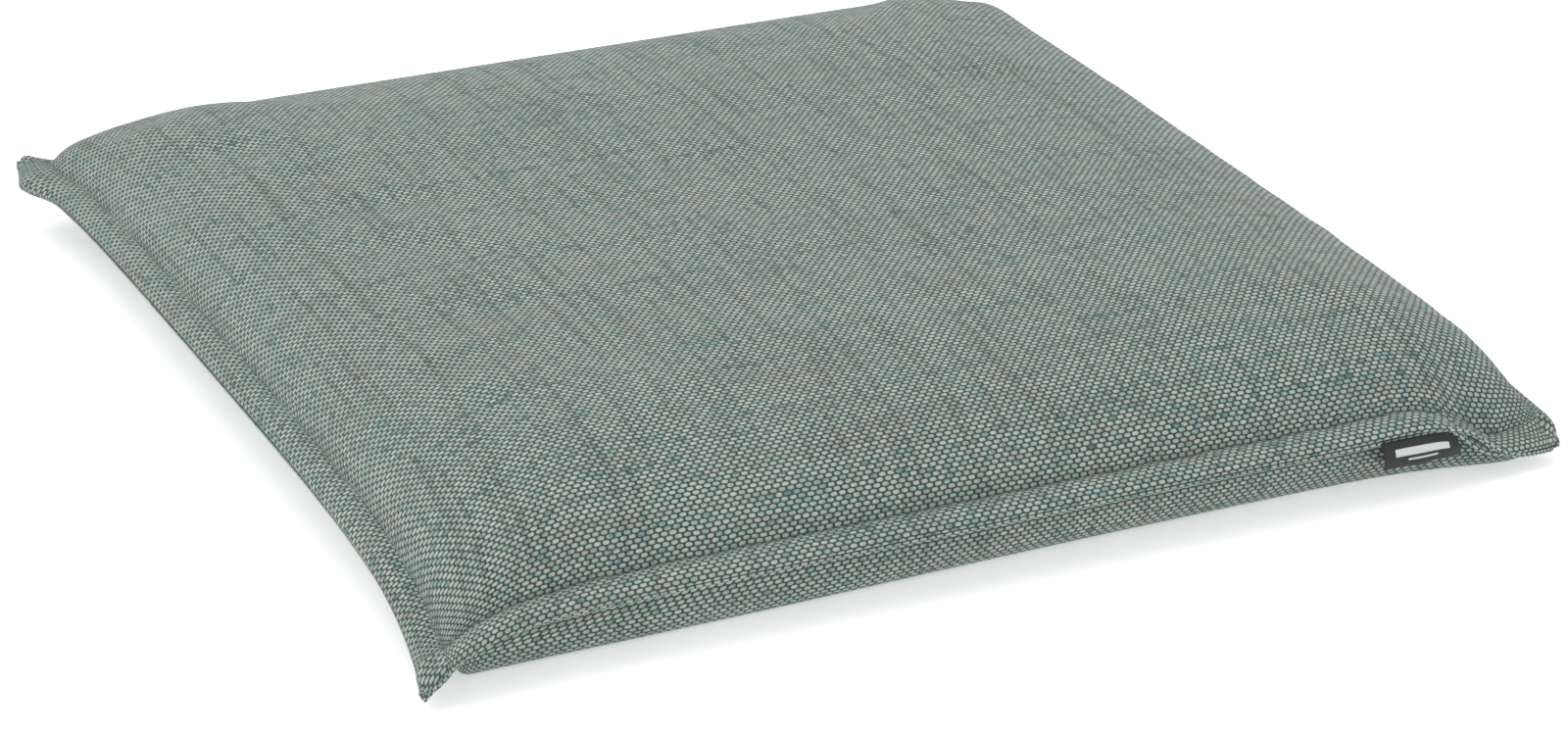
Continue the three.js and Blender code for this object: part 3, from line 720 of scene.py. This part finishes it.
def cloth_uv(s, t, surface):
    """Millimetres along the cloth: the length of the middle cross-section up to each parameter, both ways."""
    fine = np.linspace(-1, 1, 1601)
    lengths = []
    for cut in (surface(fine, 0 * fine), surface(0 * fine, fine)):
        steps = np.linalg.norm(np.diff(cut, axis=0), axis=1)
        run = np.concatenate([[0], np.cumsum(steps)])
        lengths.append(run - run[len(fine) // 2])
    return np.stack([np.interp(s, fine, lengths[0]), np.interp(t, fine, lengths[1])], -1)


def puckers(s, t, facing):
    """Small gathers along the topstitching: waves of 9 to 34 mm along the seam, strongest at the stitches and
    dying away as an exponential, with lengths and phases from a seeded generator."""
    rng = np.random.default_rng(PUCKER_SEED[facing])
    total = np.zeros_like(s)
    for along, to_seam in ((s, t), (t, s)):
        wave = sum(rng.uniform(0.5, 1.0) * np.sin(HALF * along * 2 * np.pi / rng.uniform(9, 34)
                                                  + rng.uniform(0, 6.3)) for _ in range(PUCKER_WAVES)) / 3.2
        gap = (BODY - np.abs(to_seam)) * HALF / BODY
        fade = np.exp(-np.maximum(gap, 0) / 7.0) * np.exp(-np.maximum(-gap, 0) / 14.0)
        total += wave * fade
    return facing * PUCKER * total


def panel_grids(surface, s, t, facing, swell_field=None):
    """The face of a panel and its back, one cloth thickness inside it along the normal."""
    face = surface(s, t)
    face[..., 2] += puckers(s, t, facing) * (np.abs(s) < 1) * (np.abs(t) < 1)
    if swell_field is not None:
        face += normals_of(face) * swell_field[..., None]
    if facing < 0:
        face[..., 2] = np.maximum(face[..., 2], 0)
        face, s, t = face[:, ::-1], s[:, ::-1], t[:, ::-1]
    back = face - normals_of(face) * CLOTH
    return face, back, cloth_uv(s, t, surface)


swell_here = resampled(sim_place, swell, lines, lines) * (np.abs(S) < BODY) * (np.abs(T) < BODY)
face, back, uv = panel_grids(top_surface, S, T, 1, swell_here)
cover_top = closed_panel("cover_top", face, back, uv, tweed_cloth, lip=COVER_LIP, turn=COVER_TURN)
print("cover_top:", len(cover_top.data.polygons) * 2, "triangles")

# %% [markdown]
# ### Where the zip parts the underside
# The zip's tape, coil and slider keep the CAD's shapes and places, so the cloth beside them has to lie in the
# CAD's own plane: 39 degrees, from the floor up to the rear seam. A straight Bezier gives that plane. The
# slot is a little over 10 mm wide and closes at both ends.

# %% Lower panel and rear strip
ZIP_MIDDLE = np.array([0.0, 204.395, 11.361])
DOWN_SLOPE = np.array([0.0, -0.776488, -0.630133])
OUTWARD = np.array([0.0, 0.630133, -0.776488])
SLOT_HALF, SLOT_END, SLOT_CLOSING, SLOT_LEAST = 5.2, 190.0, 5.0, 0.12

fine_t = np.linspace(0.3, BODY, 900)
slope_cut = under_surface(0 * fine_t, fine_t)
slope_place = (slope_cut - ZIP_MIDDLE) @ DOWN_SLOPE
level = (slope_cut - ZIP_MIDDLE) @ OUTWARD
off_plane = np.abs(level[np.abs(slope_place) < 10]).max()
print("rear slope lies within", off_plane.round(2), "mm of the zip's plane")


def slot_edge(s, side):
    """The grid parameter of the slot's edge at each place across: half the slot's width away from the middle
    line, closing over the last few millimetres at each end as a quarter of an ellipse."""
    x = np.abs(under_surface(s, np.full_like(s, fine_t[np.abs(slope_place).argmin()]))[..., 0])
    closing = np.clip((x - (SLOT_END - SLOT_CLOSING)) / SLOT_CLOSING, 0, 1)
    reach = side * (SLOT_LEAST + (SLOT_HALF - SLOT_LEAST) * np.sqrt(1 - closing**2))
    order = np.argsort(slope_place)
    return np.interp(reach, slope_place[order], fine_t[order])


front_rows = lines[lines < 0.62]
rear_share = np.linspace(0, 1, 15) ** 0.8
edge_front, edge_rear = slot_edge(lines, 1), slot_edge(lines, -1)
T_front = np.concatenate([
    np.repeat(front_rows[:, None], len(lines), 1),
    front_rows[-1] + (edge_front - front_rows[-1])[None, :] * rear_share[1:, None],
])
S_front = np.repeat(lines[None, :], len(T_front), 0)
rear_rows = lines[lines > BODY - 1e-6]
between = np.linspace(0, 1, 12)[:-1]
T_rear = np.concatenate([
    edge_rear[None, :] + (BODY - edge_rear)[None, :] * between[:, None],
    np.repeat(rear_rows[:, None], len(lines), 1),
])
S_rear = np.repeat(lines[None, :], len(T_rear), 0)
under_pieces = {}
for name, s, t in (("cover_bottom", S_front, T_front), ("cover_rear_strip", S_rear, T_rear)):
    face, back, uv = panel_grids(under_surface, s, t, -1)
    under_pieces[name] = closed_panel(name, face, back, uv, tweed_cloth, lip=COVER_LIP, turn=COVER_TURN)
    print(name, len(under_pieces[name].data.polygons) * 2, "triangles")

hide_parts("cover_top_panel")
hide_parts("cover_bottom_panel")
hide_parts("cover_bottom_strip")
for piece in (cover_top, *under_pieces.values()):
    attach(piece, "cushion")

# %% [markdown]
# ## Stitches
# A row of machine stitches is the same short piece of thread laid again and again: it dips into the cloth at
# each needle hole and arches a little between. One stitch is a tube of seven rings; its formula is worked out
# for all stitches at once, so several hundred cost no more code than one.

# %% Thread material and the stitch maker
def twisted_thread(name, colour, dark):
    """Thread: fine slanting bands, from a sine of the sum of all three directions, with a little noise."""
    material, shader = new_material(name, roughness=0.55, sheen=0.1)
    place = object_place(material)
    split = node(material, "ShaderNodeSeparateXYZ", {0: place})
    total = plus(material, plus(material, split.outputs[0], split.outputs[1]), split.outputs[2])
    wave = maths(material, "SINE", times(material, total, 9000.0))
    share = plus(material, times(material, wave, 0.3), noise(material, place, 900.0))
    feed(material, shader.inputs["Base Color"], ramp(material, share, [(0.2, dark), (0.8, colour)]))
    relief(material, shader, wave, 0.00008)
    return material


sewing_thread = twisted_thread("sewing_thread", "#8FA19B", "#5E716C")


def along_path(path, at):
    """Points of a polyline at given lengths from its start, by linear interpolation of each coordinate."""
    run = np.concatenate([[0], np.cumsum(np.linalg.norm(np.diff(path[:, :3], axis=0), axis=1))])
    return np.stack([np.interp(at, run, path[:, k]) for k in range(path.shape[1])], -1), run[-1]


def tube_faces(rings, sides, count):
    """Faces of count closed tubes, each of rings x sides points; two faces close each six-sided end."""
    k = np.arange(sides)
    ring = np.arange(rings - 1)[:, None] * sides
    wall = np.stack([ring + k, ring + (k + 1) % sides, ring + sides + (k + 1) % sides, ring + sides + k], -1)
    last = (rings - 1) * sides
    caps = np.array([[3, 2, 1, 0], [5, 4, 3, 0], [last, last + 1, last + 2, last + 3],
                     [last, last + 3, last + 4, last + 5]])
    one = np.concatenate([wall.reshape(-1, 4), caps])
    return (one[None] + (np.arange(count) * rings * sides)[:, None, None]).reshape(-1, 4)


def stitch_row(path, lifts, length, gap, radius, arch):
    """Points and faces of a row of stitches along a path whose outward directions are lifts. The thread's
    height is -arch at both ends and +arch in the middle, as a sine, and it thins towards its ends."""
    both = np.concatenate([path, lifts], 1)
    total = along_path(both, 0.0)[1]
    count = int(total // (length + gap))
    starts = (np.arange(count) + 0.5) * total / count - length / 2
    share = np.array([0, 0.1, 0.32, 0.5, 0.68, 0.9, 1.0])
    here, _ = along_path(both, starts[:, None] + share * length)
    ahead, _ = along_path(both, starts[:, None] + share * length + 0.2)
    tangent = ahead[..., :3] - here[..., :3]
    tangent /= np.maximum(np.linalg.norm(tangent, axis=-1, keepdims=True), 1e-9)
    lift = here[..., 3:] - (here[..., 3:] * tangent).sum(-1, keepdims=True) * tangent
    lift /= np.linalg.norm(lift, axis=-1, keepdims=True)
    side = np.cross(tangent, lift)
    centre = here[..., :3] + lift * (arch * (2 * np.sin(np.pi * share) - 1))[None, :, None]
    size = radius * (1 - (2 * share - 1) ** 4 * 0.75)
    turn = np.arange(6) * np.pi / 3
    spoke = np.cos(turn)[:, None] * side[..., None, :] + np.sin(turn)[:, None] * lift[..., None, :]
    points = centre[..., None, :] + spoke * size[None, :, None, None]
    return points.reshape(-1, 3), tube_faces(len(share), 6, count)


def seam_contour(inset, steps=320):
    """Grid parameters once round the pad, counter-clockwise, a share of the way from the topstitched line to
    the fold."""
    reach = BODY + inset * (1 - BODY)
    way = np.linspace(-reach, reach, steps + 1)[:-1]
    s = np.concatenate([way, np.full(steps, reach), -way, np.full(steps, -reach)])
    t = np.concatenate([np.full(steps, -reach), way, np.full(steps, reach), -way])
    return np.append(s, s[0]), np.append(t, t[0])


def outward_of(surface, s, t, facing):
    """The unit normal of a surface at parameters, from two small steps."""
    step = 0.004
    here = surface(s, t)
    cross = np.cross(surface(s + step, t) - surface(s - step, t), surface(s, t + step) - surface(s, t - step))
    return here, facing * cross / np.maximum(np.linalg.norm(cross, axis=-1, keepdims=True), 1e-12)


# %% Topstitching and the turned edge's seam
STITCH, STITCH_GAP, THREAD, ARCH = 3.3, 0.75, 0.34, 0.22
threads = []
for name, surface, facing, stands_for in (
    ("topstitch_needle", top_surface, 1, "topstitch_needle_thread"),
    ("topstitch_bobbin", under_surface, -1, "topstitch_bobbin_thread"),
):
    s, t = seam_contour(0.03)
    path, lifts = outward_of(surface, s, t, facing)
    path[:, 2] += puckers(s, t, facing)
    points, faces = stitch_row(path, lifts, STITCH, STITCH_GAP, THREAD, ARCH)
    piece = new_piece(name, points, faces, material=sewing_thread)
    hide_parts(stands_for)
    threads.append(piece)
    print(name, len(faces) // 40, "stitches")
s, t = seam_contour(0.72)
path, lifts = outward_of(lambda a, b: np.stack(middle_layer(a, b), -1), s, t, 1)
points, faces = stitch_row(path, lifts, 2.6, 0.5, 0.28, 0.1)
edge_seam = new_piece("edge_seam", points, faces, material=sewing_thread)
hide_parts("edge_seam_thread")
threads.append(edge_seam)
for piece in threads:
    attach(piece, "cushion")

# %% [markdown]
# ## The side label
# A folded black satin label is caught in the edge seam near the front right ear and hangs over the underside.
# It is a small sheet bent along a curve: from the fold it drops, then leans in towards the cloth. Two plain
# woven bars stand where a maker would put a name.

# %% Label
LABEL_START, LABEL_SPAN = LABEL_AT - 0.068, 0.142  # along the front, as shares of half its length
LABEL_WIDTH, LABEL_DEPTH, LABEL_THICK = 31, 11.5, 0.55


def label_sheet(a, b, thick):
    """a runs along the seam and b from the seam down. The top edge follows the fold of the flange; the bottom
    edge runs beside it, lower down and further in; a slight sine bows the sheet outwards between them."""
    s = (LABEL_START + LABEL_SPAN * a) / (1 - flat_run("right") / HALF) * BODY
    x, y, z = middle_layer(s, np.full_like(s, -1.0))
    top = np.stack([x, y - 0.5, z - 0.2], -1)
    low = np.stack([x + 7.2, y + 7.0 - 0.6 * a, 9.8 + 0.6 * a], -1)
    bow = np.stack([0 * a, -1.3 * np.sin(np.pi * b) - thick, 0.25 * np.sin(3 * np.pi * a) * b], -1)
    return top * (1 - b)[..., None] + low * b[..., None] + bow


label_cloth, label_shader = new_material("label_cloth", roughness=0.5, sheen=0.02, specular=0.3)
place, along, down = cloth_place(label_cloth)
satin = maths(label_cloth, "SINE", times(label_cloth, down, 14.0))
rib = times(label_cloth, satin, maths(label_cloth, "SINE", times(label_cloth, along, 9.0)))


def between_lines(material, value, low, high, soft=0.12):
    """1 between two values, 0 outside, with soft edges."""
    rising = mapped(material, value, low - soft, low + soft)
    falling = mapped(material, value, high - soft, high + soft)
    return times(material, rising, minus(material, 1.0, falling))


BARS = (((4.5, 26.5), (3.2, 6.4)), ((9.5, 21.5), (7.8, 8.7)))  # each one's reach along the label and down it
bars = plus(label_cloth, *(times(label_cloth, between_lines(label_cloth, along, *wide),
                                 between_lines(label_cloth, down, *tall)) for wide, tall in BARS), clamp=True)
black = ramp(label_cloth, plus(label_cloth, times(label_cloth, rib, 0.25), 0.5),
             [(0.25, "#08090A"), (0.75, "#15181A")])
white = ramp(label_cloth, plus(label_cloth, times(label_cloth, rib, 0.3), 0.5),
             [(0.2, "#B9BCBB"), (0.8, "#DADCDA")])
feed(label_cloth, label_shader.inputs["Base Color"], mixed(label_cloth, bars, black, white))
relief(label_cloth, label_shader, plus(label_cloth, rib, times(label_cloth, bars, 1.2)), 0.00006)

A, B = np.meshgrid(np.linspace(0, 1, 33), np.linspace(0, 1, 15))
face, back = label_sheet(A, B, LABEL_THICK)[:, ::-1], label_sheet(A, B, 0.0)[:, ::-1]
label_uv = np.stack([A * LABEL_WIDTH, B * LABEL_DEPTH], -1)[:, ::-1]
label = closed_panel("side_label_satin", face, back, label_uv, label_cloth, lip=0.15)
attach(label, "cushion")
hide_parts("side_label")
print("label spans mm:", face.reshape(-1, 3).min(0).round(1), face.reshape(-1, 3).max(0).round(1))

# %% [markdown]
# ## Inside the cover
# A thin casing holds the wadding, and the wadding wraps a foam slab. Nobody sees them until the zip is open,
# but each is its own piece. A filled body that is star-shaped about its middle has a handy property: a copy
# scaled towards that middle lies wholly inside it. The casing and the wadding's outside are such copies.

# %% Casing, wadding and foam
HEART = np.array([0.0, 0.0, 27.0])
CASING_OUT, CASING_IN, BATT_OUT = (0.972, 0.972, 0.93), (0.969, 0.969, 0.915), (0.96, 0.96, 0.885)
FOAM_GAP = 0.6


def nested(surface, s, t, share):
    """A point inside the cover: its place is the heart plus a share, one for each direction, of the way to
    the cover's body."""
    return HEART + (surface(s * BODY, t * BODY) - HEART) * np.array(share)


def fine_cloth(name, light, dark, threads_per_mm):
    """Plain weave: two sines at right angles, multiplied, with noise for uneven yarn."""
    material, shader = new_material(name, roughness=0.8, sheen=0.15)
    place, along, up = cloth_place(material)
    wave = times(material, maths(material, "SINE", times(material, along, threads_per_mm)),
                 maths(material, "SINE", times(material, up, threads_per_mm)))
    share = plus(material, times(material, wave, 0.3), noise(material, place, 0.4))
    feed(material, shader.inputs["Base Color"], ramp(material, share, [(0.25, dark), (0.75, light)]))
    relief(material, shader, wave, 0.0001)
    return material


def matted(name, light, dark, scale, depth, roughness):
    """Loose fibres or open cells: layered noise in the object's own coordinates."""
    material, shader = new_material(name, roughness=roughness, sheen=0.2)
    place = object_place(material)
    cells = node(material, "ShaderNodeTexVoronoi", {"Vector": place, "Scale": scale}).outputs["Distance"]
    share = times(material, plus(material, cells, noise(material, place, scale * 0.35, 4.0)), 0.6)
    feed(material, shader.inputs["Base Color"], ramp(material, share, [(0.2, dark), (0.7, light)]))
    relief(material, shader, share, depth)
    return material


casing_cloth = fine_cloth("casing_cloth", "#ECEAE4", "#CFCCC4", 7.0)
wadding_fibre = matted("wadding", "#F4F2EE", "#D8D5CF", 260.0, 0.0012, 0.95)
foam_cells = matted("foam", "#E9DDB0", "#C4B27C", 900.0, 0.0004, 0.85)

coarse = -np.cos(np.linspace(0, np.pi, 85))
Si, Ti = np.meshgrid(coarse, coarse)
foam_low, foam_high = (np.array(corner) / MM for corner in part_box("foam_core"))
for half, surface, facing in (("top", top_surface, 1), ("bottom", under_surface, -1)):
    s, t = (Si, Ti) if facing > 0 else (Si[:, ::-1], Ti[:, ::-1])
    outside = nested(surface, s, t, CASING_OUT)
    inside = nested(surface, s, t, CASING_IN)
    uv = np.stack([s, t], -1) * 220
    casing = closed_panel("casing_" + half, outside, inside, uv, casing_cloth)
    outer = nested(surface, s, t, BATT_OUT)
    inner = np.clip(outer, foam_low - FOAM_GAP, foam_high + FOAM_GAP)
    batt = closed_panel("wadding_batt_" + half, outer, inner, uv, wadding_fibre)
    for piece, node_name, slot_name, fill in ((casing, "liner_" + half, "casing_cloth", 0.75),
                                              (batt, "wadding_" + half, "wadding", 0.5)):
        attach(piece, "cushion")
        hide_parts(node_name)
print("foam spans mm:", foam_low.round(1), foam_high.round(1))


def repaint(names, material):
    """Gives carried-over CAD nodes a finished material, in the slots they have."""
    for name in names:
        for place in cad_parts[name].material_slots:
            place.material = material


repaint(["foam_core"], foam_cells)

# %% [markdown]
# ## The zip
# Two woven tapes, a nylon coil on each, a slider with a puller, stops at the ends, and two rows of stitching
# that hold the tapes to the cover. The tapes, slider and stops keep the CAD's shapes. The coil is a thread of
# nylon wound as a flattened helix: one ring of six points carried along it, all turns at once.

# %% Zip materials
def zip_place(material):
    """Millimetres along the zip and down the slope, from the object's coordinates."""
    place = object_place(material)
    split = node(material, "ShaderNodeSeparateXYZ", {0: place})
    slope = [float(part) / MM for part in DOWN_SLOPE]
    down = plus(material, times(material, split.outputs[1], slope[1]),
                times(material, split.outputs[2], slope[2]))
    return place, times(material, split.outputs[0], 1 / MM), down


zip_tape, tape_shader = new_material("zip_tape", roughness=0.75, sheen=0.2)
place, along, down = zip_place(zip_tape)
twill = maths(zip_tape, "SINE", times(zip_tape, plus(zip_tape, along, down), 7.5))
share = plus(zip_tape, times(zip_tape, twill, 0.25), noise(zip_tape, place, 300.0))
feed(zip_tape, tape_shader.inputs["Base Color"], ramp(zip_tape, share, [(0.2, "#4B5957"), (0.8, "#6F7F7B")]))
relief(zip_tape, tape_shader, twill, 0.00012)

zip_nylon, nylon_shader = new_material("zip_nylon", roughness=0.35)
place = object_place(zip_nylon)
feed(zip_nylon, nylon_shader.inputs["Base Color"],
     ramp(zip_nylon, noise(zip_nylon, place, 120.0), [(0.3, "#586663"), (0.7, "#7B8B87")]))
relief(zip_nylon, nylon_shader, noise(zip_nylon, place, 2500.0), 0.00004)

zip_metal, metal_shader = new_material("zip_metal", roughness=0.32, metallic=1.0)
place = object_place(zip_metal)
worn = noise(zip_metal, place, 260.0, 4.0, 0.6)
feed(zip_metal, metal_shader.inputs["Base Color"],
     ramp(zip_metal, worn, [(0.3, "#6E7272"), (0.7, "#A9ADAC")]))
feed(zip_metal, metal_shader.inputs["Roughness"], mapped(zip_metal, worn, 0.3, 0.7, 0.42, 0.24))
relief(zip_metal, metal_shader, noise(zip_metal, place, 1800.0), 0.00003)

repaint(["zip_tape_front", "zip_tape_rear"], zip_tape)
repaint(["zip_top_stop", "zip_bottom_stop", "zip_slider_body", "zip_slider_back_plate", "zip_puller"],
        zip_metal)


# %% Coils, zip stitching and bartacks
ZIP_SEAM_HALF, ZIP_SEAM_PLACE, THREAD_OUT = 186, 7.8, 0.12
TACK_PLACE, TACK_WIDE, TACK_HALF = 191.3, 0.5, 7.4


def on_zip(x, down, out):
    """A point in the zip's own frame, as millimetres in the pad's."""
    x, down, out = (part[..., None] for part in np.broadcast_arrays(x, down, out))
    return ZIP_MIDDLE + x * np.array([1.0, 0, 0]) + down * DOWN_SLOPE + out * OUTWARD


def coil(side, pitch=1.5, length=356.0, thread=0.3):
    """A flattened helix: x grows by one pitch a turn, the place across the zip is a cosine between the tape
    and just past the middle, and the place outwards is a sine. The two coils are half a pitch apart."""
    turns = int(length / pitch)
    angle = np.linspace(0, 2 * np.pi * turns, turns * 12 + 1)
    x = -length / 2 + pitch * angle / (2 * np.pi) + (0.25 if side > 0 else -0.25) * pitch
    path = on_zip(x, side * (1.05 + 1.55 * np.cos(angle)), 0.1 + 0.72 * np.sin(angle))
    forward = np.gradient(path, axis=0)
    forward /= np.linalg.norm(forward, axis=1, keepdims=True)
    first = np.cross(forward, [1.0, 0, 0])
    first /= np.linalg.norm(first, axis=1, keepdims=True)
    second = np.cross(forward, first)
    turn = np.arange(6) * np.pi / 3
    points = path[:, None] + thread * (np.cos(turn)[None, :, None] * first[:, None]
                                       + np.sin(turn)[None, :, None] * second[:, None])
    return points.reshape(-1, 3), tube_faces(len(path), 6, 1)


for name, side in (("front", 1), ("rear", -1)):
    points, faces = coil(side)
    row = new_piece("coil_" + name, points, faces, material=zip_nylon)
    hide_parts("zip_coil_" + name)
    path = on_zip(np.linspace(-ZIP_SEAM_HALF, ZIP_SEAM_HALF, 200), side * ZIP_SEAM_PLACE, THREAD_OUT)
    lifts = np.broadcast_to(OUTWARD, path.shape)
    points, faces = stitch_row(path, lifts, 2.6, 0.6, 0.3, 0.2)
    seam = new_piece("zip_seam_" + name, points, faces, material=sewing_thread)
    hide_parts("zip_stitch_" + name)
    for piece in (row, seam):
        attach(piece, "cushion")
for name, side in (("left", -1), ("right", 1)):
    place = side * (TACK_PLACE + TACK_WIDE * np.linspace(-1, 1, 5))
    rows = [stitch_row(on_zip(np.full(24, x), np.linspace(-TACK_HALF, TACK_HALF, 24), THREAD_OUT),
                       np.broadcast_to(OUTWARD, (24, 3)), 14.0, 0.4, 0.26, 0.12) for x in place]
    count = [0, *np.cumsum([len(points) for points, _ in rows])[:-1]]
    faces = np.concatenate([faces + first for (_, faces), first in zip(rows, count)])
    points = np.concatenate([points for points, _ in rows])
    tack = new_piece("zip_tack_" + name, points, faces, material=sewing_thread)
    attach(tack, "cushion")
    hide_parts("zip_bartack_" + name)

# %% Light levels
SKY = 0.8
LAMPS = [("key", (-0.5, 0.6, 2.2), 2.6, 26.0), ("fill", (-1.2, -1.8, 1.2), 1.6, 5.0)]

# %% [markdown]
# ## Floor and light
# A pale floor that runs out of sight, a pale sky for even light from all round, and one broad soft lamp high
# up. The floor is nearly white and also glows faintly, painted light that lifts the soft shadow the pad
# stands on and lights its underside.

# %% Stage
FLOOR_HALF, FLOOR_LEVEL = 6000, -0.3
corners = [[x * FLOOR_HALF, y * FLOOR_HALF, FLOOR_LEVEL] for x, y in ((-1, -1), (1, -1), (1, 1), (-1, 1))]
floor = new_piece("floor", corners, [[0, 1, 2, 3]], smooth=False)
floor_material, floor_shader = new_material("pale_floor", roughness=0.9, specular=0.1)
# Painted light: the floor glows faintly, which lightens the pad's shadow on it and lights the pad's
# underside.
floor_shader.inputs["Emission Color"].default_value = (1.0, 1.0, 1.0, 1.0)
floor_shader.inputs["Emission Strength"].default_value = 0.4
floor_place = object_place(floor_material)
feed(floor_material, floor_shader.inputs["Base Color"],
     ramp(floor_material, noise(floor_material, floor_place, 3.0), [(0.3, "#F6F6F6"), (0.7, "#F8F8F8")]))
floor.data.materials.append(floor_material)

world = bpy.data.worlds.new("studio")
world.use_nodes = True
world.node_tree.nodes["Background"].inputs["Color"].default_value = (1.0, 1.0, 1.0, 1.0)
world.node_tree.nodes["Background"].inputs["Strength"].default_value = SKY
bpy.context.scene.world = world


def lamp(name, place, aim, size, power):
    """A square area lamp at a place in metres, turned so that it looks at the point it aims at."""
    data = bpy.data.lights.new(name, "AREA")
    data.shape, data.size, data.energy = "SQUARE", size, power
    made = bpy.data.objects.new(name, data)
    bpy.context.scene.collection.objects.link(made)
    back = np.array(place, float) - aim
    back /= np.linalg.norm(back)
    right = np.cross([0.0, 1.0, 0.0], back)
    right /= np.linalg.norm(right)
    matrix = np.eye(4)
    matrix[:3, :3] = np.stack([right, np.cross(back, right), back], 1)
    matrix[:3, 3] = place
    made.matrix_world = Matrix(matrix)


for name, place, size, power in LAMPS:
    lamp(name, place, (0, 0, 0.03), size, power)
bpy.context.scene.view_settings.view_transform = "Standard"
print("lamps:", [entry[0] for entry in LAMPS])
